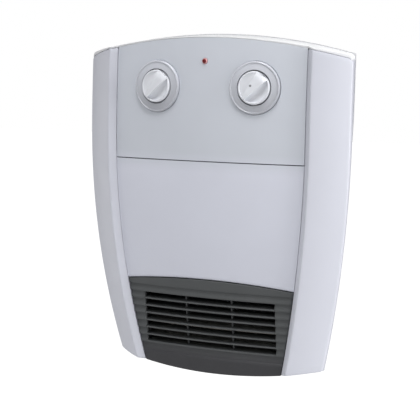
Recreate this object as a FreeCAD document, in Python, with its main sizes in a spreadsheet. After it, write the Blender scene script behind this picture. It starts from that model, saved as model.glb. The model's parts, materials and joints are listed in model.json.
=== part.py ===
import FreeCAD, Part
import math
import os
import Sketcher
from FreeCAD import Placement, Rotation, Vector

# Wall-mounted fan convector heater.
# X points right, the front faces -Y, Z points up.
# Each piece is drawn with the front's foremost line at y = 0, the wall plane at y = depth and the
# lowest point at z = 0. The finished heater hangs with its origin midway between its keyholes,
# on the wall plane.

document = FreeCAD.newDocument("fan_heater")
sheet = document.addObject("Spreadsheet::Sheet", "sizes")

DIMENSIONS = {
    # whole heater
    "depth": 115, "full_height": 329.4, "half_width": 140, "wall": 2.5, "gap": 0.8,
    "snug": 0.05, "fit_gap": 0.3,
    # front: bowed sideways, raked vertically, arched top and bottom edges
    "bow_radius": 525, "rake_radius": 1288, "rake_start": 272,
    "top_radius": 551, "bottom_radius": 532,
    # centre panels between the side panels
    "centre_half_width": 101.5, "taper_start": 240, "centre_taper_radius": 1048,
    "seam_height": 211.1, "post_radius": 3.5, "post_spread": 80,
    "low_post": 120, "middle_post": 196, "high_post": 226,
    # side panels
    "wing_taper_radius": 925, "bevel_width": 5.9, "bevel_height": 6.2, "wing_sweep": 22.4,
    "wing_face_radius": 150, "wing_back": 34.3, "wing_back_radius": 1138, "lip_width": 14,
    "wing_inset": 1, "cavity_bottom": 15, "cavity_top": 307, "wing_cut_near": 40,
    "wing_cut_far": 160,
    # top cover
    "cover_step": 0.8, "cover_rise": 4.3, "tab_spread": 45, "tab_half_width": 10,
    "tab_low": 304, "tab_high": 328, "tab_wall": 2.2,
    # rear housing
    "rear_bottom": 9, "rim_half_width": 139.8, "rim_step": 0.8, "rim_taper_start": 275,
    "rim_taper_radius": 1014, "back_half_width": 107, "back_top": 318, "back_taper_start": 250,
    "back_taper_radius": 1636, "intake_pitch": 9, "intake_width": 4, "intake_count": 19,
    "intake_front": 46, "intake_back": 100,
    "keyhole_spread": 60, "keyhole_height": 230, "keyhole_radius": 5, "keyslot_radius": 2.4,
    "keyslot_length": 9,
    "pillar_spread": 90, "pillar_low": 200, "pillar_high": 296, "pillar_radius": 6,
    "pillar_wall": 2, "counterbore_floor": 8,
    # screw holes
    "pilot_radius": 1.8, "clearance_radius": 1.9, "boss_radius": 4, "boss_length": 7,
    # outlet grille; its corners are found from a place near each of them
    "grille_top": 94.9, "grille_top_radius": 712, "grille_wall": 4, "row_pitch": 7.55,
    "first_groove": 16.7, "row_count": 9, "groove_depth": 2.0, "slot_half_width": 71,
    "rib_spread": 24.8, "rib_width": 1.6, "rib_setback": 4, "slat_depth": 12,
    "slat_rise": 3.8, "slat_wall": 1.6, "floor_depth": 58,
    "near_top_corner": 90, "near_low_corner": 5,
    # dial rings and knobs
    "knob_spread": 51.8, "knob_height": 282.5, "ring_radius": 25.2, "ring_front": 2.4,
    "ring_lip": 1.3, "ring_recess": 1.0, "ring_wall": 1.8, "ring_back": 6.5, "ring_play": 0.25,
    "ring_flange": 1.5, "opening_depth": 24,
    "knob_radius": 16.15, "knob_front": 4.4, "knob_back": 7, "knob_dish": 3.4, "knob_rim": 1.5,
    "knob_wall": 2, "knob_play": 0.75, "grip_narrow": 2.0, "grip_wide": 6.4,
    "spindle_radius": 3, "spindle_front": 1, "spindle_end": 26, "bore_clearance": 0.03,
    # switch and thermostat behind the knobs
    "bush_thread_radius": 4.8, "nut_radius": 7.2, "nut_height": 2.6, "bracket_face": 12.5,
    "sheet_metal": 1.2, "bracket_low": 266, "bracket_high": 299, "bracket_foot": 12,
    "bracket_bend": 24, "bracket_end": 78, "bracket_screw_low": 272, "bracket_screw_high": 293,
    "tag_wall": 0.8, "tag_pitch": 6, "tag_length": 10, "switch_half": 15, "switch_depth": 22,
    "bridge_half_width": 11, "bridge_half_height": 16, "bridge_wall": 2, "bridge_depth": 15,
    "base_half_width": 10, "base_half_height": 18, "blade_play": 0.3, "blade_half_height": 13,
    "blade_width": 9, "contact_height": 10,
    # indicator
    "lamp_height": 307.1, "lamp_radius": 2.65, "lens_front": 1.2, "lens_flange": 1.4,
    "neon_radius": 2.6, "holder_radius": 4.2, "holder_front": 16,
    # chassis
    "chassis_front": 29.2, "chassis_bottom": 100, "chassis_top": 312, "chassis_play": 0.1,
    "dial_opening": 24, "dial_opening_low": 258, "dial_opening_high": 307,
    "air_opening": 50, "air_opening_low": 125, "air_opening_high": 185,
    # fan unit
    "fan_depth": 78, "fan_height": 118, "impeller_radius": 29, "impeller_half_length": 73,
    "blade_count": 24, "blade_chord": 8, "blade_wall": 0.9, "blade_lead": 3.2,
    "disc_wall": 1.5, "coupling_bore": 7, "coupling_radius": 8.5, "coupling_length": 9,
    "hub_neck": 1.5, "hub_wall": 4, "hub_length": 6,
    "bush_radius": 5, "bush_length": 6, "holder_neck": 9, "holder_flange": 11,
    "end_plate": 75, "end_plate_wall": 1.2, "shaft_radius": 2.5, "shaft_overlap": 8,
    "shaft_end": 13.5, "foot_spread": 82, "foot_depth": 104, "foot_half": 6,
    "foot_low": 80, "foot_high": 145,
    "scroll_depth": 110.5, "scroll_radius": 102.8, "scroll_bend": 110, "scroll_top": 150,
    "cheek_front": 22, "nose_depth": 49.4, "nose_height": 104, "tongue_bend": 100,
    # motor
    "motor_middle": 86.5, "stack_length": 12, "rotor_radius": 12.5, "rotor_ring": 1.5,
    "air_gap": 0.4, "core_half": 20, "core_low": 20, "core_high": 54, "window_half": 12,
    "window_low": 22, "window_high": 42, "coil_half": 12.5, "coil_low": 36, "coil_high": 60,
    "coil_play": 0.4, "leg_play": 0.2, "coil_cheek": 1.5, "cheek_rim": 1,
    "motor_screw_spread": 15, "motor_screw_drop": 15, "spacer_radius": 3.2,
    "bracket_near": 8.8, "bracket_far": 10.3, "arm_shoulder": 9, "arm_top": 10,
    # heating element and its safety cut-out
    "heater_front": 44, "heater_back": 62, "heater_bottom": 22, "heater_top": 80,
    "heater_half_width": 75, "frame_wall": 1.5, "bar_height": 5, "bar_inset": 2,
    "fin_pitch": 4, "fin_wall": 0.5, "fin_inset": 3, "fin_margin": 2,
    "cutout_offset": 40, "cutout_height": 91.5, "cutout_plate_width": 12,
    "cutout_plate_height": 7.5, "cutout_radius": 8, "cutout_cap": 3, "cutout_case": 9,
    "cutout_tag_spread": 4, "cutout_tag_height": 3,
    # mains terminals and the cord's inlet
    "block_offset": 75, "block_half_width": 17, "block_height": 181, "block_half_height": 9,
    "block_depth": 16, "block_pitch": 11, "well_radius": 3, "well_depth": 5,
    "terminal_bore": 1.5, "terminal_bore_depth": 7, "wire_radius": 2,
    "inlet_offset": 60, "inlet_depth": 95, "inlet_radius": 6, "cord_radius": 3.6,
    "grommet_flange": 2, "grommet_bead": 1.5,
}

# head radius, head length, shank radius, shank length
SCREW_SIZES = {
    "housing_screws": (3.5, 2.4, 1.7, 15),
    "fan_unit_screws": (3.2, 2.2, 1.7, 9),
    "bracket_screws": (3.2, 2.2, 1.7, 7),
    "motor_screws": (3.2, 2.2, 1.8, 21.5),
    "terminal_screws": (2.8, 2.4, 1.4, 2),
}
for row, (name, value) in enumerate(DIMENSIONS.items(), start=1):
    sheet.set(f"A{row}", name)
    sheet.set(f"B{row}", str(value))
    sheet.setAlias(f"B{row}", name)
document.recompute()


def size(formula):
    """Value of a formula in the sheet's names; plain numbers pass through."""
    return float(sheet.evalExpression(bind(formula)))


def bind(formula):
    """Formula as an expression on the sheet: each dimension's name gets its prefix."""
    words = []
    word = ""
    for letter in str(formula) + " ":
        if letter.isalnum() or letter in "_.":
            word += letter
            continue
        words.append(f"sizes.{word}" if word in DIMENSIONS else word)
        words.append(letter)
        word = ""
    return "".join(words).strip()


# ---------------------------------------------------------------- front outline formulas

def arc_drop(radius, distance):
    """How far an arc falls away from its tangent at a distance from the touching point."""
    return f"({radius} - sqrt(({radius})^2 - ({distance})^2))"


def rake(height):
    return arc_drop("rake_radius", f"({height}) - rake_start")


def bow(across):
    return arc_drop("bow_radius", across)


def centre_edge(height):
    """Half width of the space between the side panels."""
    taper = arc_drop("centre_taper_radius", f"taper_start - ({height})")
    return f"(centre_half_width - {taper})"


def wing_edge(height):
    """Half width of the whole front."""
    return f"(half_width - {arc_drop('wing_taper_radius', f'taper_start - ({height})')})"


def wing_rear(height):
    """Depth of the side panels' rear edge, which the rear housing's rim follows."""
    return f"(wing_back + {arc_drop('wing_back_radius', f'taper_start - ({height})')})"


def top_edge(across):
    return f"(full_height - {arc_drop('top_radius', across)})"


def bottom_edge(across):
    return arc_drop("bottom_radius", across)


def grille_edge(across):
    return f"(grille_top - {arc_drop('grille_top_radius', across)})"


# ---------------------------------------------------------------- building helpers

PLANES = {"XY": ("XY_Plane", 1), "XZ": ("XZ_Plane", -1), "YZ": ("YZ_Plane", 1)}
sub_parts = []
places = {}


def new_body(label):
    body = document.addObject("PartDesign::Body", label)
    body.Label = label
    sub_parts.append(body)
    return body


def origin_feature(body, role):
    return next(item for item in body.Origin.OriginFeatures if item.Role == role)


def new_sketch(body, plane, at, name, loops):
    """Closed loops on an origin plane moved to a depth along that plane's axis."""
    role, sign = PLANES[plane]
    sketch = body.newObject("Sketcher::SketchObject", name)
    sketch.AttachmentSupport = [(origin_feature(body, role), "")]
    sketch.MapMode = "FlatFace"
    sketch.setExpression("AttachmentOffset.Base.z", bind(f"{sign} * ({at})"))
    for loop in loops:
        if loop[0] == "circle":
            draw_circle(sketch, *loop[1:])
        else:
            draw_loop(sketch, loop)
    return sketch


def pin_value(sketch, kind, *arguments):
    """Adds a driving constraint whose last argument is a formula."""
    *geometry, formula = arguments
    index = sketch.addConstraint(Sketcher.Constraint(kind, *geometry, size(formula)))
    sketch.setExpression(f"Constraints[{index}]", bind(formula))


def draw_circle(sketch, across, up, radius):
    circle = Part.Circle(Vector(size(across), size(up), 0), Vector(0, 0, 1), size(radius))
    index = sketch.addGeometry(circle, False)
    pin_value(sketch, "Radius", index, radius)
    pin_value(sketch, "DistanceX", index, 3, across)
    pin_value(sketch, "DistanceY", index, 3, up)


def draw_loop(sketch, corners):
    """Corners are (x, y) or (x, y, radius, side): the edge that leaves such a corner is an arc.

    Side is +1 where the arc bulges to the right of the direction of travel, else -1.
    """
    first = sketch.GeometryCount
    points = [Vector(size(corner[0]), size(corner[1]), 0) for corner in corners]
    for index, corner in enumerate(corners):
        start, end = points[index], points[(index + 1) % len(points)]
        if len(corner) == 2:
            sketch.addGeometry(Part.LineSegment(start, end), False)
        else:
            sketch.addGeometry(bulged_arc(start, end, size(corner[2]), corner[3]), False)
    count = len(corners)
    for index, corner in enumerate(corners):
        here, following = first + index, first + (index + 1) % count
        leaving = end_places(corner)
        arriving = end_places(corners[(index + 1) % count])
        sketch.addConstraint(
            Sketcher.Constraint("Coincident", here, leaving[1], following, arriving[0]))
    for index, corner in enumerate(corners):
        here = first + index
        start_place = end_places(corner)[0]
        pin_value(sketch, "DistanceX", here, start_place, corner[0])
        pin_value(sketch, "DistanceY", here, start_place, corner[1])
        if len(corner) == 4:
            pin_value(sketch, "Radius", here, corner[2])


def end_places(corner):
    """Start and end point numbers of an edge; arcs run anticlockwise in a sketch."""
    if len(corner) == 4 and corner[3] < 0:
        return 2, 1
    return 1, 2


def bulged_arc(start, end, radius, side):
    chord = end - start
    middle = (start + end) * 0.5
    right = Vector(chord.y, -chord.x, 0).normalize() * side
    reach = math.sqrt(radius ** 2 - (chord.Length / 2) ** 2)
    centre = middle - right * reach
    begin = math.atan2(start.y - centre.y, start.x - centre.x)
    finish = math.atan2(end.y - centre.y, end.x - centre.x)
    if side < 0:
        begin, finish = finish, begin
    return Part.ArcOfCircle(Part.Circle(centre, Vector(0, 0, 1), radius), begin, finish)


def extrude(kind, body, plane, start, end, loops, name):
    """Pads or pockets loops between two positions along the plane's axis."""
    sign = PLANES[plane][1]
    sketch = new_sketch(body, plane, start, f"{name}_sketch", loops)
    before = body.Shape.Volume if kind == "Pocket" else 0
    feature = body.newObject(f"PartDesign::{kind}", name)
    feature.Profile = sketch
    feature.setExpression("Length", bind(f"abs(({end}) - ({start}))"))
    forward = (size(end) > size(start)) == (sign > 0)
    feature.Reversed = forward if kind == "Pocket" else not forward
    body.Tip = feature
    document.recompute()
    if kind == "Pocket" and body.Shape.Volume > before - 1e-3:
        raise ValueError(f"{body.Label}: {name} removes nothing")
    return feature


def pad(body, plane, start, end, loops, name):
    return extrude("Pad", body, plane, start, end, loops, name)


def pocket(body, plane, start, end, loops, name):
    return extrude("Pocket", body, plane, start, end, loops, name)


def turn(kind, body, plane, at, loops, axis, name, angle=360):
    """Revolution or Groove about an axis of the sketch's own, evenly to both sides."""
    sketch = new_sketch(body, plane, at, f"{name}_sketch", loops)
    along, place = axis
    reach = 50
    if along == "up":
        ends = [Vector(size(place), 0, 0), Vector(size(place), reach, 0)]
    else:
        ends = [Vector(0, size(place), 0), Vector(reach, size(place), 0)]
    line = sketch.addGeometry(Part.LineSegment(*ends), True)
    kept, moved = ("DistanceX", "DistanceY") if along == "up" else ("DistanceY", "DistanceX")
    pin_value(sketch, kept, line, 1, place)
    pin_value(sketch, kept, line, 2, place)
    pin_value(sketch, moved, line, 1, "0")
    pin_value(sketch, moved, line, 2, str(reach))
    before = body.Shape.Volume if kind == "Groove" else 0
    feature = body.newObject(f"PartDesign::{kind}", name)
    feature.Profile = sketch
    feature.ReferenceAxis = (sketch, ["Axis0"])
    feature.Angle = angle
    feature.Midplane = angle < 360
    body.Tip = feature
    document.recompute()
    if kind == "Groove" and body.Shape.Volume > before - 1e-3:
        raise ValueError(f"{body.Label}: {name} removes nothing")
    return feature


def rectangle(left, low, right, high):
    return [(left, low), (right, low), (right, high), (left, high)]


def hexagon(radius, up="0"):
    """Regular hexagon about (0, up) with two corners level with its middle."""
    corners = []
    for index in range(6):
        turned = 60 * index
        corners.append((f"{radius} * cos({turned})", f"({up}) + {radius} * sin({turned})"))
    return corners


def put(piece, across, deep, up, rotation=None):
    """Places a piece; its position stays bound to the sheet."""
    piece.Placement = Placement(Vector(), rotation or Rotation())
    places[piece.Name] = (across, deep, up)
    piece.setExpression("Placement.Base.x", bind(across))
    piece.setExpression("Placement.Base.y", bind(deep))
    piece.setExpression("Placement.Base.z", bind(up))
    return piece


def group_solids(label, pieces):
    """One sub-part made of separate solids."""
    group = document.addObject("Part::Compound", label)
    group.Label = label
    group.Links = pieces
    sub_parts.append(group)
    return group


def screws(label, seats, toward):
    """Identical screws as separate solids of one sub-part, each head on one of the seats."""
    solids = []
    head_radius, head_length, shank_radius, shank_length = SCREW_SIZES[label]
    turned = Rotation(Vector(0, 0, 1), toward)
    for index, (across, deep, up) in enumerate(seats):
        head = document.addObject("Part::Cylinder", f"{label}_head_{index}")
        head.Radius, head.Height = head_radius, head_length
        head.Placement = Placement(Vector(), turned)
        shank = document.addObject("Part::Cylinder", f"{label}_shank_{index}")
        shank.Radius, shank.Height = shank_radius, shank_length
        shank.Placement = Placement(Vector(), turned.multiply(Rotation(Vector(1, 0, 0), 180)))
        socket = document.addObject("Part::Cylinder", f"{label}_socket_{index}")
        socket.Radius, socket.Height = head_radius * 0.45, head_length
        recess = toward.normalize() * (head_length * 0.45)
        socket.Placement = Placement(recess, turned)
        for item, shift in ((head, Vector()), (shank, Vector()), (socket, recess)):
            item.setExpression("Placement.Base.x", bind(f"({across}) + {shift.x}"))
            item.setExpression("Placement.Base.y", bind(f"({deep}) + {shift.y}"))
            item.setExpression("Placement.Base.z", bind(f"({up}) + {shift.z}"))
        whole = document.addObject("Part::Fuse", f"{label}_blank_{index}")
        whole.Base, whole.Tool = head, shank
        cut = document.addObject("Part::Cut", f"{label}_{index}")
        cut.Base, cut.Tool = whole, socket
        solids.append(cut)
    return group_solids(label, solids)


# ---------------------------------------------------------------- front panels

SKIN_ANGLE = 25


def bowed_skin(body, low, high, thickness, name):
    """Shell that follows the front's bow and rake between two heights."""
    front = [
        (rake(low), low, "rake_radius", -1),
        (rake(high), high),
        (f"{rake(high)} + {thickness}", high, f"rake_radius - {thickness}", 1),
        (f"{rake(low)} + {thickness}", low),
    ]
    turn("Revolution", body, "YZ", "0", [front], ("up", "bow_radius"), name, SKIN_ANGLE)


def trim(body, outline, name):
    """Cuts away everything outside an outline seen from the front."""
    frame = rectangle("-200", "-60", "200", "400")
    pocket(body, "XZ", "-60", "200", [frame, outline], name)


def mirrored_sides(points):
    """Closes a symmetric outline: right-hand corners upwards, then their mirror images down."""
    left = []
    for index in range(len(points) - 1, -1, -1):
        across, up = points[index][:2]
        arc = points[index - 1][2:] if index > 0 else ()
        left.append((f"-({across})", up) + arc)
    return points + left


def panel_posts(body, heights):
    """Posts from a front panel back to the chassis plate."""
    for height in heights:
        for side in (-1, 1):
            across = f"{side} * post_spread"
            front = f"{rake(height)} + {bow('post_spread')} + wall / 2"
            side_name = "left" if side < 0 else "right"
            circle = ("circle", across, height, "post_radius")
            pad(body, "XZ", front, "chassis_front", [circle], f"{side_name}_{height}")


def control_panel():
    body = new_body("control_panel")
    low = "seam_height + gap / 2"
    bowed_skin(body, "seam_height - 10", "full_height + 5", "wall", "skin")
    edge = "centre_half_width - gap"
    outline = [
        (f"{centre_edge(low)} - gap", low, "centre_taper_radius", 1),
        (edge, "taper_start"),
        (edge, top_edge(edge), "top_radius", 1),
    ]
    trim(body, mirrored_sides(outline), "outline")
    panel_posts(body, ["high_post"])
    for side in (-1, 1):
        drill_control_opening(body, side)
    lens = ("circle", "0", "lamp_height", "lamp_radius + snug")
    pocket(body, "XZ", "-10", "20", [lens], "lens_hole")
    return body


def control_tilt():
    return math.degrees(math.asin(size("knob_spread") / size("bow_radius")))


def drill_control_opening(body, side):
    """Round opening square to the bowed surface at a control."""
    name = "left" if side < 0 else "right"
    sketch = body.newObject("Sketcher::SketchObject", f"opening_{name}_sketch")
    sketch.AttachmentSupport = [(origin_feature(body, "XZ_Plane"), "")]
    sketch.MapMode = "FlatFace"
    tilt = Rotation(Vector(0, 1, 0), side * control_tilt())
    sketch.AttachmentOffset = Placement(Vector(), tilt)
    sketch.setExpression("AttachmentOffset.Base.x", bind(f"{side} * knob_spread"))
    sketch.setExpression("AttachmentOffset.Base.y", bind("knob_height"))
    sketch.setExpression("AttachmentOffset.Base.z", bind(f"-{bow('knob_spread')}"))
    draw_circle(sketch, "0", "0", "ring_radius + ring_play")
    before = body.Shape.Volume
    opening = body.newObject("PartDesign::Pocket", f"opening_{name}")
    opening.Profile = sketch
    opening.setExpression("Length", bind("opening_depth"))
    opening.SideType = "Symmetric"
    body.Tip = opening
    document.recompute()
    if body.Shape.Volume > before - 1:
        raise ValueError("control opening removes nothing")


def lower_panel():
    body = new_body("lower_panel")
    high = "seam_height - gap / 2"
    bowed_skin(body, "grille_top - 20", "seam_height + 10", "wall", "skin")
    across_low = f"{centre_edge(grille_edge('near_top_corner'))} - gap"
    low = f"{grille_edge(across_low)} + gap"
    outline = [
        (across_low, low, "centre_taper_radius", 1),
        (f"{centre_edge(high)} - gap", high),
    ]
    closed = mirrored_sides(outline)
    closed[-1] = closed[-1][:2] + ("grille_top_radius", -1)
    trim(body, closed, "outline")
    panel_posts(body, ["low_post", "middle_post"])
    return body


def outlet_grille():
    body = new_body("outlet_grille")
    thick = "grille_wall"
    floor_top = "rear_bottom - fit_gap"
    high = "grille_top + 5"
    section = [
        (rake("-5"), "-5", "rake_radius", -1),
        (rake(high), high),
        (f"{rake(high)} + {thick}", high, f"rake_radius - {thick}", 1),
        (f"{rake(floor_top)} + {thick}", floor_top),
        ("floor_depth", floor_top),
        ("floor_depth", "-5"),
    ]
    turn("Revolution", body, "YZ", "0", [section], ("up", "bow_radius"), "skin", SKIN_ANGLE)
    across_high = f"{centre_edge(grille_edge('near_top_corner'))} - gap"
    across_low = f"{centre_edge('near_low_corner')} - gap"
    outline = [
        (across_low, bottom_edge(across_low), "centre_taper_radius", 1),
        (across_high, grille_edge(across_high), "grille_top_radius", 1),
    ]
    closed = mirrored_sides(outline)
    closed[-1] = closed[-1][:2] + ("bottom_radius", 1)
    trim(body, closed, "outline")
    cut_shingles(body)
    cut_window(body)
    add_slats(body)
    add_ribs(body)
    return body


def groove_height(index):
    return f"(first_groove + {index} * row_pitch)"


def cut_shingles(body):
    """Stepped face: each row leans back from its front lip up to the lip above."""
    steps = []
    for index in range(int(size("row_count"))):
        low = f"{groove_height(index)} + slat_wall"
        high = groove_height(index + 1)
        steps.append([
            (f"{rake(low)}", low),
            (f"{rake(high)} - 3", low),
            (f"{rake(high)} - 3", high),
            (f"{rake(high)} + groove_depth", high),
        ])
    turn("Groove", body, "YZ", "0", steps, ("up", "bow_radius"), "shingles", SKIN_ANGLE)


def cut_window(body):
    """One opening from the second groove to the last but one, which the slats then cross."""
    low = f"{groove_height(1)} + slat_wall / 2"
    high = groove_height(int(size("row_count")) - 1)
    window = rectangle("-slot_half_width", low, "slot_half_width", high)
    pocket(body, "XZ", "0", "45", [window], "window")


def add_ribs(body):
    """Two upright ribs that join the slats, set back behind their lips."""
    low = groove_height(1)
    high = f"{groove_height(int(size('row_count')) - 1)} + slat_wall"
    at_rib = bow("rib_spread")
    outline = [
        (f"{rake(low)} + {at_rib} + rib_setback", low, "rake_radius", -1),
        (f"{rake(high)} + {at_rib} + rib_setback", high),
        (f"{rake(high)} + {at_rib} + slat_depth - 0.3", high, "rake_radius", 1),
        (f"{rake(low)} + {at_rib} + slat_depth - 0.3", low),
    ]
    for side in (-1, 1):
        near = f"{side} * (rib_spread - rib_width / 2)"
        far = f"{side} * (rib_spread + rib_width / 2)"
        pad(body, "YZ", near, far, [outline], "left_rib" if side < 0 else "right_rib")


def add_slats(body):
    """Slats that rise rearwards from the lips, across all three columns."""
    slats = []
    for index in range(1, int(size("row_count"))):
        low = groove_height(index)
        rear = f"{rake(low)} + slat_depth"
        slats.append([
            (rake(low), low),
            (rear, f"{low} + slat_rise"),
            (rear, f"{low} + slat_rise + slat_wall * 0.7"),
            (rake(low), f"{low} + slat_wall"),
        ])
    reach = 2 * math.degrees(math.asin((size("slot_half_width") + 0.8) / size("bow_radius")))
    turn("Revolution", body, "YZ", "0", slats, ("up", "bow_radius"), "slats", reach)


# ---------------------------------------------------------------- side panels

WING_HEIGHTS = ["-4", "60", "120", "180", "240", "290", "336"]


def wing_points(height):
    inner = f"{centre_edge(height)}" if size(height) < size("taper_start") else "centre_half_width"
    outer = f"{wing_edge(height)}" if size(height) < size("taper_start") else "half_width"
    rear = wing_rear(height) if size(height) < size("taper_start") else "wing_back"
    face = f"{rake(height)} + {bow(inner)}"
    return inner, outer, rear, face


def wing_section(side, height):
    """Outer section: inner wall, bevel up to the crest, face sweeping back, short side wall."""
    inner, outer, rear, face = wing_points(height)
    corners = [
        (inner, rear),
        (inner, face),
        (f"{inner} + bevel_width", f"{face} - bevel_height", "wing_face_radius", 1),
        (outer, f"{face} - bevel_height + wing_sweep"),
        (f"{outer} - wing_inset", rear),
    ]
    return turned_to_side(corners, side)


def wing_hollow(side, height):
    """Inside of the section, open at the rear between the inner wall and the lip."""
    inner, outer, rear, face = wing_points(height)
    lip = f"{outer} - lip_width - wing_inset"
    corners = [
        (f"{inner} + wall", f"{rear} + 5"),
        (f"{inner} + wall", f"{face} + 1.5"),
        (f"{inner} + bevel_width + 1", f"{face} - bevel_height + 3.4"),
        (f"{outer} - 3", f"{face} - bevel_height + wing_sweep + 1.2"),
        (f"{outer} - 3.4", f"{rear} - wall"),
        (lip, f"{rear} - wall"),
        (lip, f"{rear} + 5"),
    ]
    return turned_to_side(corners, side)


def turned_to_side(corners, side):
    """Mirrors right-hand corners to the left side where needed."""
    if side > 0:
        return corners
    return [(f"-({corner[0]})", corner[1]) + mirrored_arc(corner) for corner in corners]


def mirrored_arc(corner):
    return (corner[2], -corner[3]) if len(corner) == 4 else ()


def loft(kind, body, sketches, name):
    feature = body.newObject(f"PartDesign::{kind}", name)
    feature.Profile = sketches[0]
    feature.Sections = sketches[1:]
    feature.Ruled = len(sketches) == 2
    body.Tip = feature
    document.recompute()
    return feature


def side_panel(side):
    body = new_body("left_side_panel" if side < 0 else "right_side_panel")
    outer = [
        new_sketch(body, "XY", height, f"section_{index}", [wing_section(side, height)])
        for index, height in enumerate(WING_HEIGHTS)
    ]
    loft("AdditiveLoft", body, outer, "shell")
    hollow_heights = ["cavity_bottom"] + WING_HEIGHTS[1:-1] + ["cavity_top"]
    inner = [
        new_sketch(body, "XY", height, f"hollow_{index}", [wing_hollow(side, height)])
        for index, height in enumerate(hollow_heights)
    ]
    loft("SubtractiveLoft", body, inner, "hollow")
    near, far = "wing_cut_near", "wing_cut_far"
    over = [
        (near, top_edge(near)),
        (near, "full_height + 60"),
        (far, "full_height + 60"),
        (far, top_edge(far), "top_radius", 1),
    ]
    under = [
        (near, "-60"),
        (near, bottom_edge(near), "bottom_radius", 1),
        (far, bottom_edge(far)),
        (far, "-60"),
    ]
    loops = [turned_to_side(loop, side) for loop in (over, under)]
    pocket(body, "XZ", "-30", "100", loops, "edges")
    return body


# ---------------------------------------------------------------- top cover and rear housing

def crescent(step):
    """Band above the front's arched top edge, as thick as the step."""
    edge = "half_width - wing_inset"
    high = f"{top_edge(edge)} + fit_gap"
    return [
        (edge, high),
        (edge, f"{high} + {step}", "top_radius", 1),
        (f"-({edge})", f"{high} + {step}"),
        (f"-({edge})", high, "top_radius", -1),
    ]


def top_cover():
    """Strip along the top that rises from the face edge to the rear housing's rim."""
    body = new_body("top_cover")
    front = new_sketch(body, "XZ", "0", "front_edge", [crescent("cover_step")])
    rear = new_sketch(body, "XZ", "wing_back", "rear_edge", [crescent("cover_rise")])
    loft("AdditiveLoft", body, [front, rear], "strip")
    crest = "centre_half_width + bevel_width"
    face = f"{bow('centre_half_width')} + {rake('full_height - 10')}"
    wing_end = f"{face} - bevel_height + wing_sweep"
    outer = "half_width + 5"
    plan = [
        ("centre_half_width", face),
        (crest, f"{face} - bevel_height"),
        ("half_width", wing_end),
        (outer, wing_end),
        (outer, "-20"),
        (f"-({outer})", "-20"),
        (f"-({outer})", wing_end),
        ("-half_width", wing_end),
        (f"-({crest})", f"{face} - bevel_height"),
        ("-centre_half_width", face, "bow_radius", 1),
    ]
    pocket(body, "XY", "full_height + 20", "full_height - 40", [plan], "front_cut")
    tabs = [rectangle(f"{middle} - tab_half_width", "tab_low", f"{middle} + tab_half_width",
                      "tab_high") for middle in ("-tab_spread", "tab_spread")]
    pad(body, "XZ", "chassis_front - tab_wall", "chassis_front", tabs, "tabs")
    return body


def housing_outline(inset, rim):
    """Outline of the rear housing at its rim or at the wall, drawn in from it by an inset."""
    if rim:
        half, start, radius = "rim_half_width", "rim_taper_start", "rim_taper_radius"
        crown = "full_height + fit_gap + cover_rise + rim_step"
    else:
        half, start, radius = "back_half_width", "back_taper_start", "back_taper_radius"
        crown = "back_top"
    low = f"(rear_bottom + {inset})"
    low_half = f"({half} - {inset} - {arc_drop(radius, f'{start} - {low}')})"
    high = f"({crown} - {inset} - {arc_drop('top_radius', f'{half} - {inset}')})"
    points = [
        (low_half, low, radius, 1),
        (f"{half} - {inset}", start),
        (f"{half} - {inset}", high, "top_radius", 1),
    ]
    return mirrored_sides(points)


def rear_housing():
    body = new_body("rear_housing")
    rim_depth = "wing_back + fit_gap"
    back_inside = "depth - wall"
    outside = [
        new_sketch(body, "XZ", rim_depth, "rim", [housing_outline("0", True)]),
        new_sketch(body, "XZ", "depth", "back", [housing_outline("0", False)]),
    ]
    loft("AdditiveLoft", body, outside, "shell")
    inside = [
        new_sketch(body, "XZ", rim_depth, "rim_inside", [housing_outline("wall", True)]),
        new_sketch(body, "XZ", back_inside, "back_inside", [housing_outline("wall", False)]),
    ]
    loft("SubtractiveLoft", body, inside, "hollow")
    front_of_rim = [
        ("10", "-20"),
        (f"{wing_rear('-20')} + fit_gap", "-20", "wing_back_radius", -1),
        (rim_depth, "taper_start"),
        ("10", "taper_start"),
    ]
    pocket(body, "YZ", "-160", "160", [front_of_rim], "rim_curve")
    add_pillars(body)
    add_fan_bosses(body)
    cut_keyholes(body)
    cut_intake(body)
    inlet = ("circle", "-inlet_offset", "inlet_depth", "inlet_radius + snug")
    pocket(body, "XY", "0", "rear_bottom + 5", [inlet], "cord_inlet")
    return body


def pillar_places():
    return [(side, height) for height in ("pillar_low", "pillar_high") for side in (-1, 1)]


def add_pillars(body):
    """Tubular pillars with deep counterbores, which take the screws into the chassis."""
    outer, bore, shank = [], [], []
    for side, height in pillar_places():
        across = f"{side} * pillar_spread"
        outer.append(("circle", across, height, "pillar_radius"))
        bore.append(("circle", across, height, "pillar_radius - pillar_wall"))
        shank.append(("circle", across, height, "clearance_radius"))
    chassis_back = "chassis_front + wall"
    pad(body, "XZ", chassis_back, "depth - 1", outer, "pillars")
    floor = f"{chassis_back} + counterbore_floor"
    pocket(body, "XZ", floor, "depth + 1", bore, "counterbores")
    pocket(body, "XZ", "chassis_front", f"{floor} + 1", shank, "screw_holes")


def fan_screw_places():
    return [(side, height) for height in ("foot_low", "foot_high") for side in (-1, 1)]


def add_fan_bosses(body):
    outer, bore = [], []
    for side, height in fan_screw_places():
        outer.append(("circle", f"{side} * foot_spread", height, "boss_radius"))
        bore.append(("circle", f"{side} * foot_spread", height, "pilot_radius"))
    pad(body, "XZ", "foot_depth", "depth - 1", outer, "fan_bosses")
    pocket(body, "XZ", "foot_depth - 1", "depth - wall", bore, "fan_boss_holes")


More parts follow.
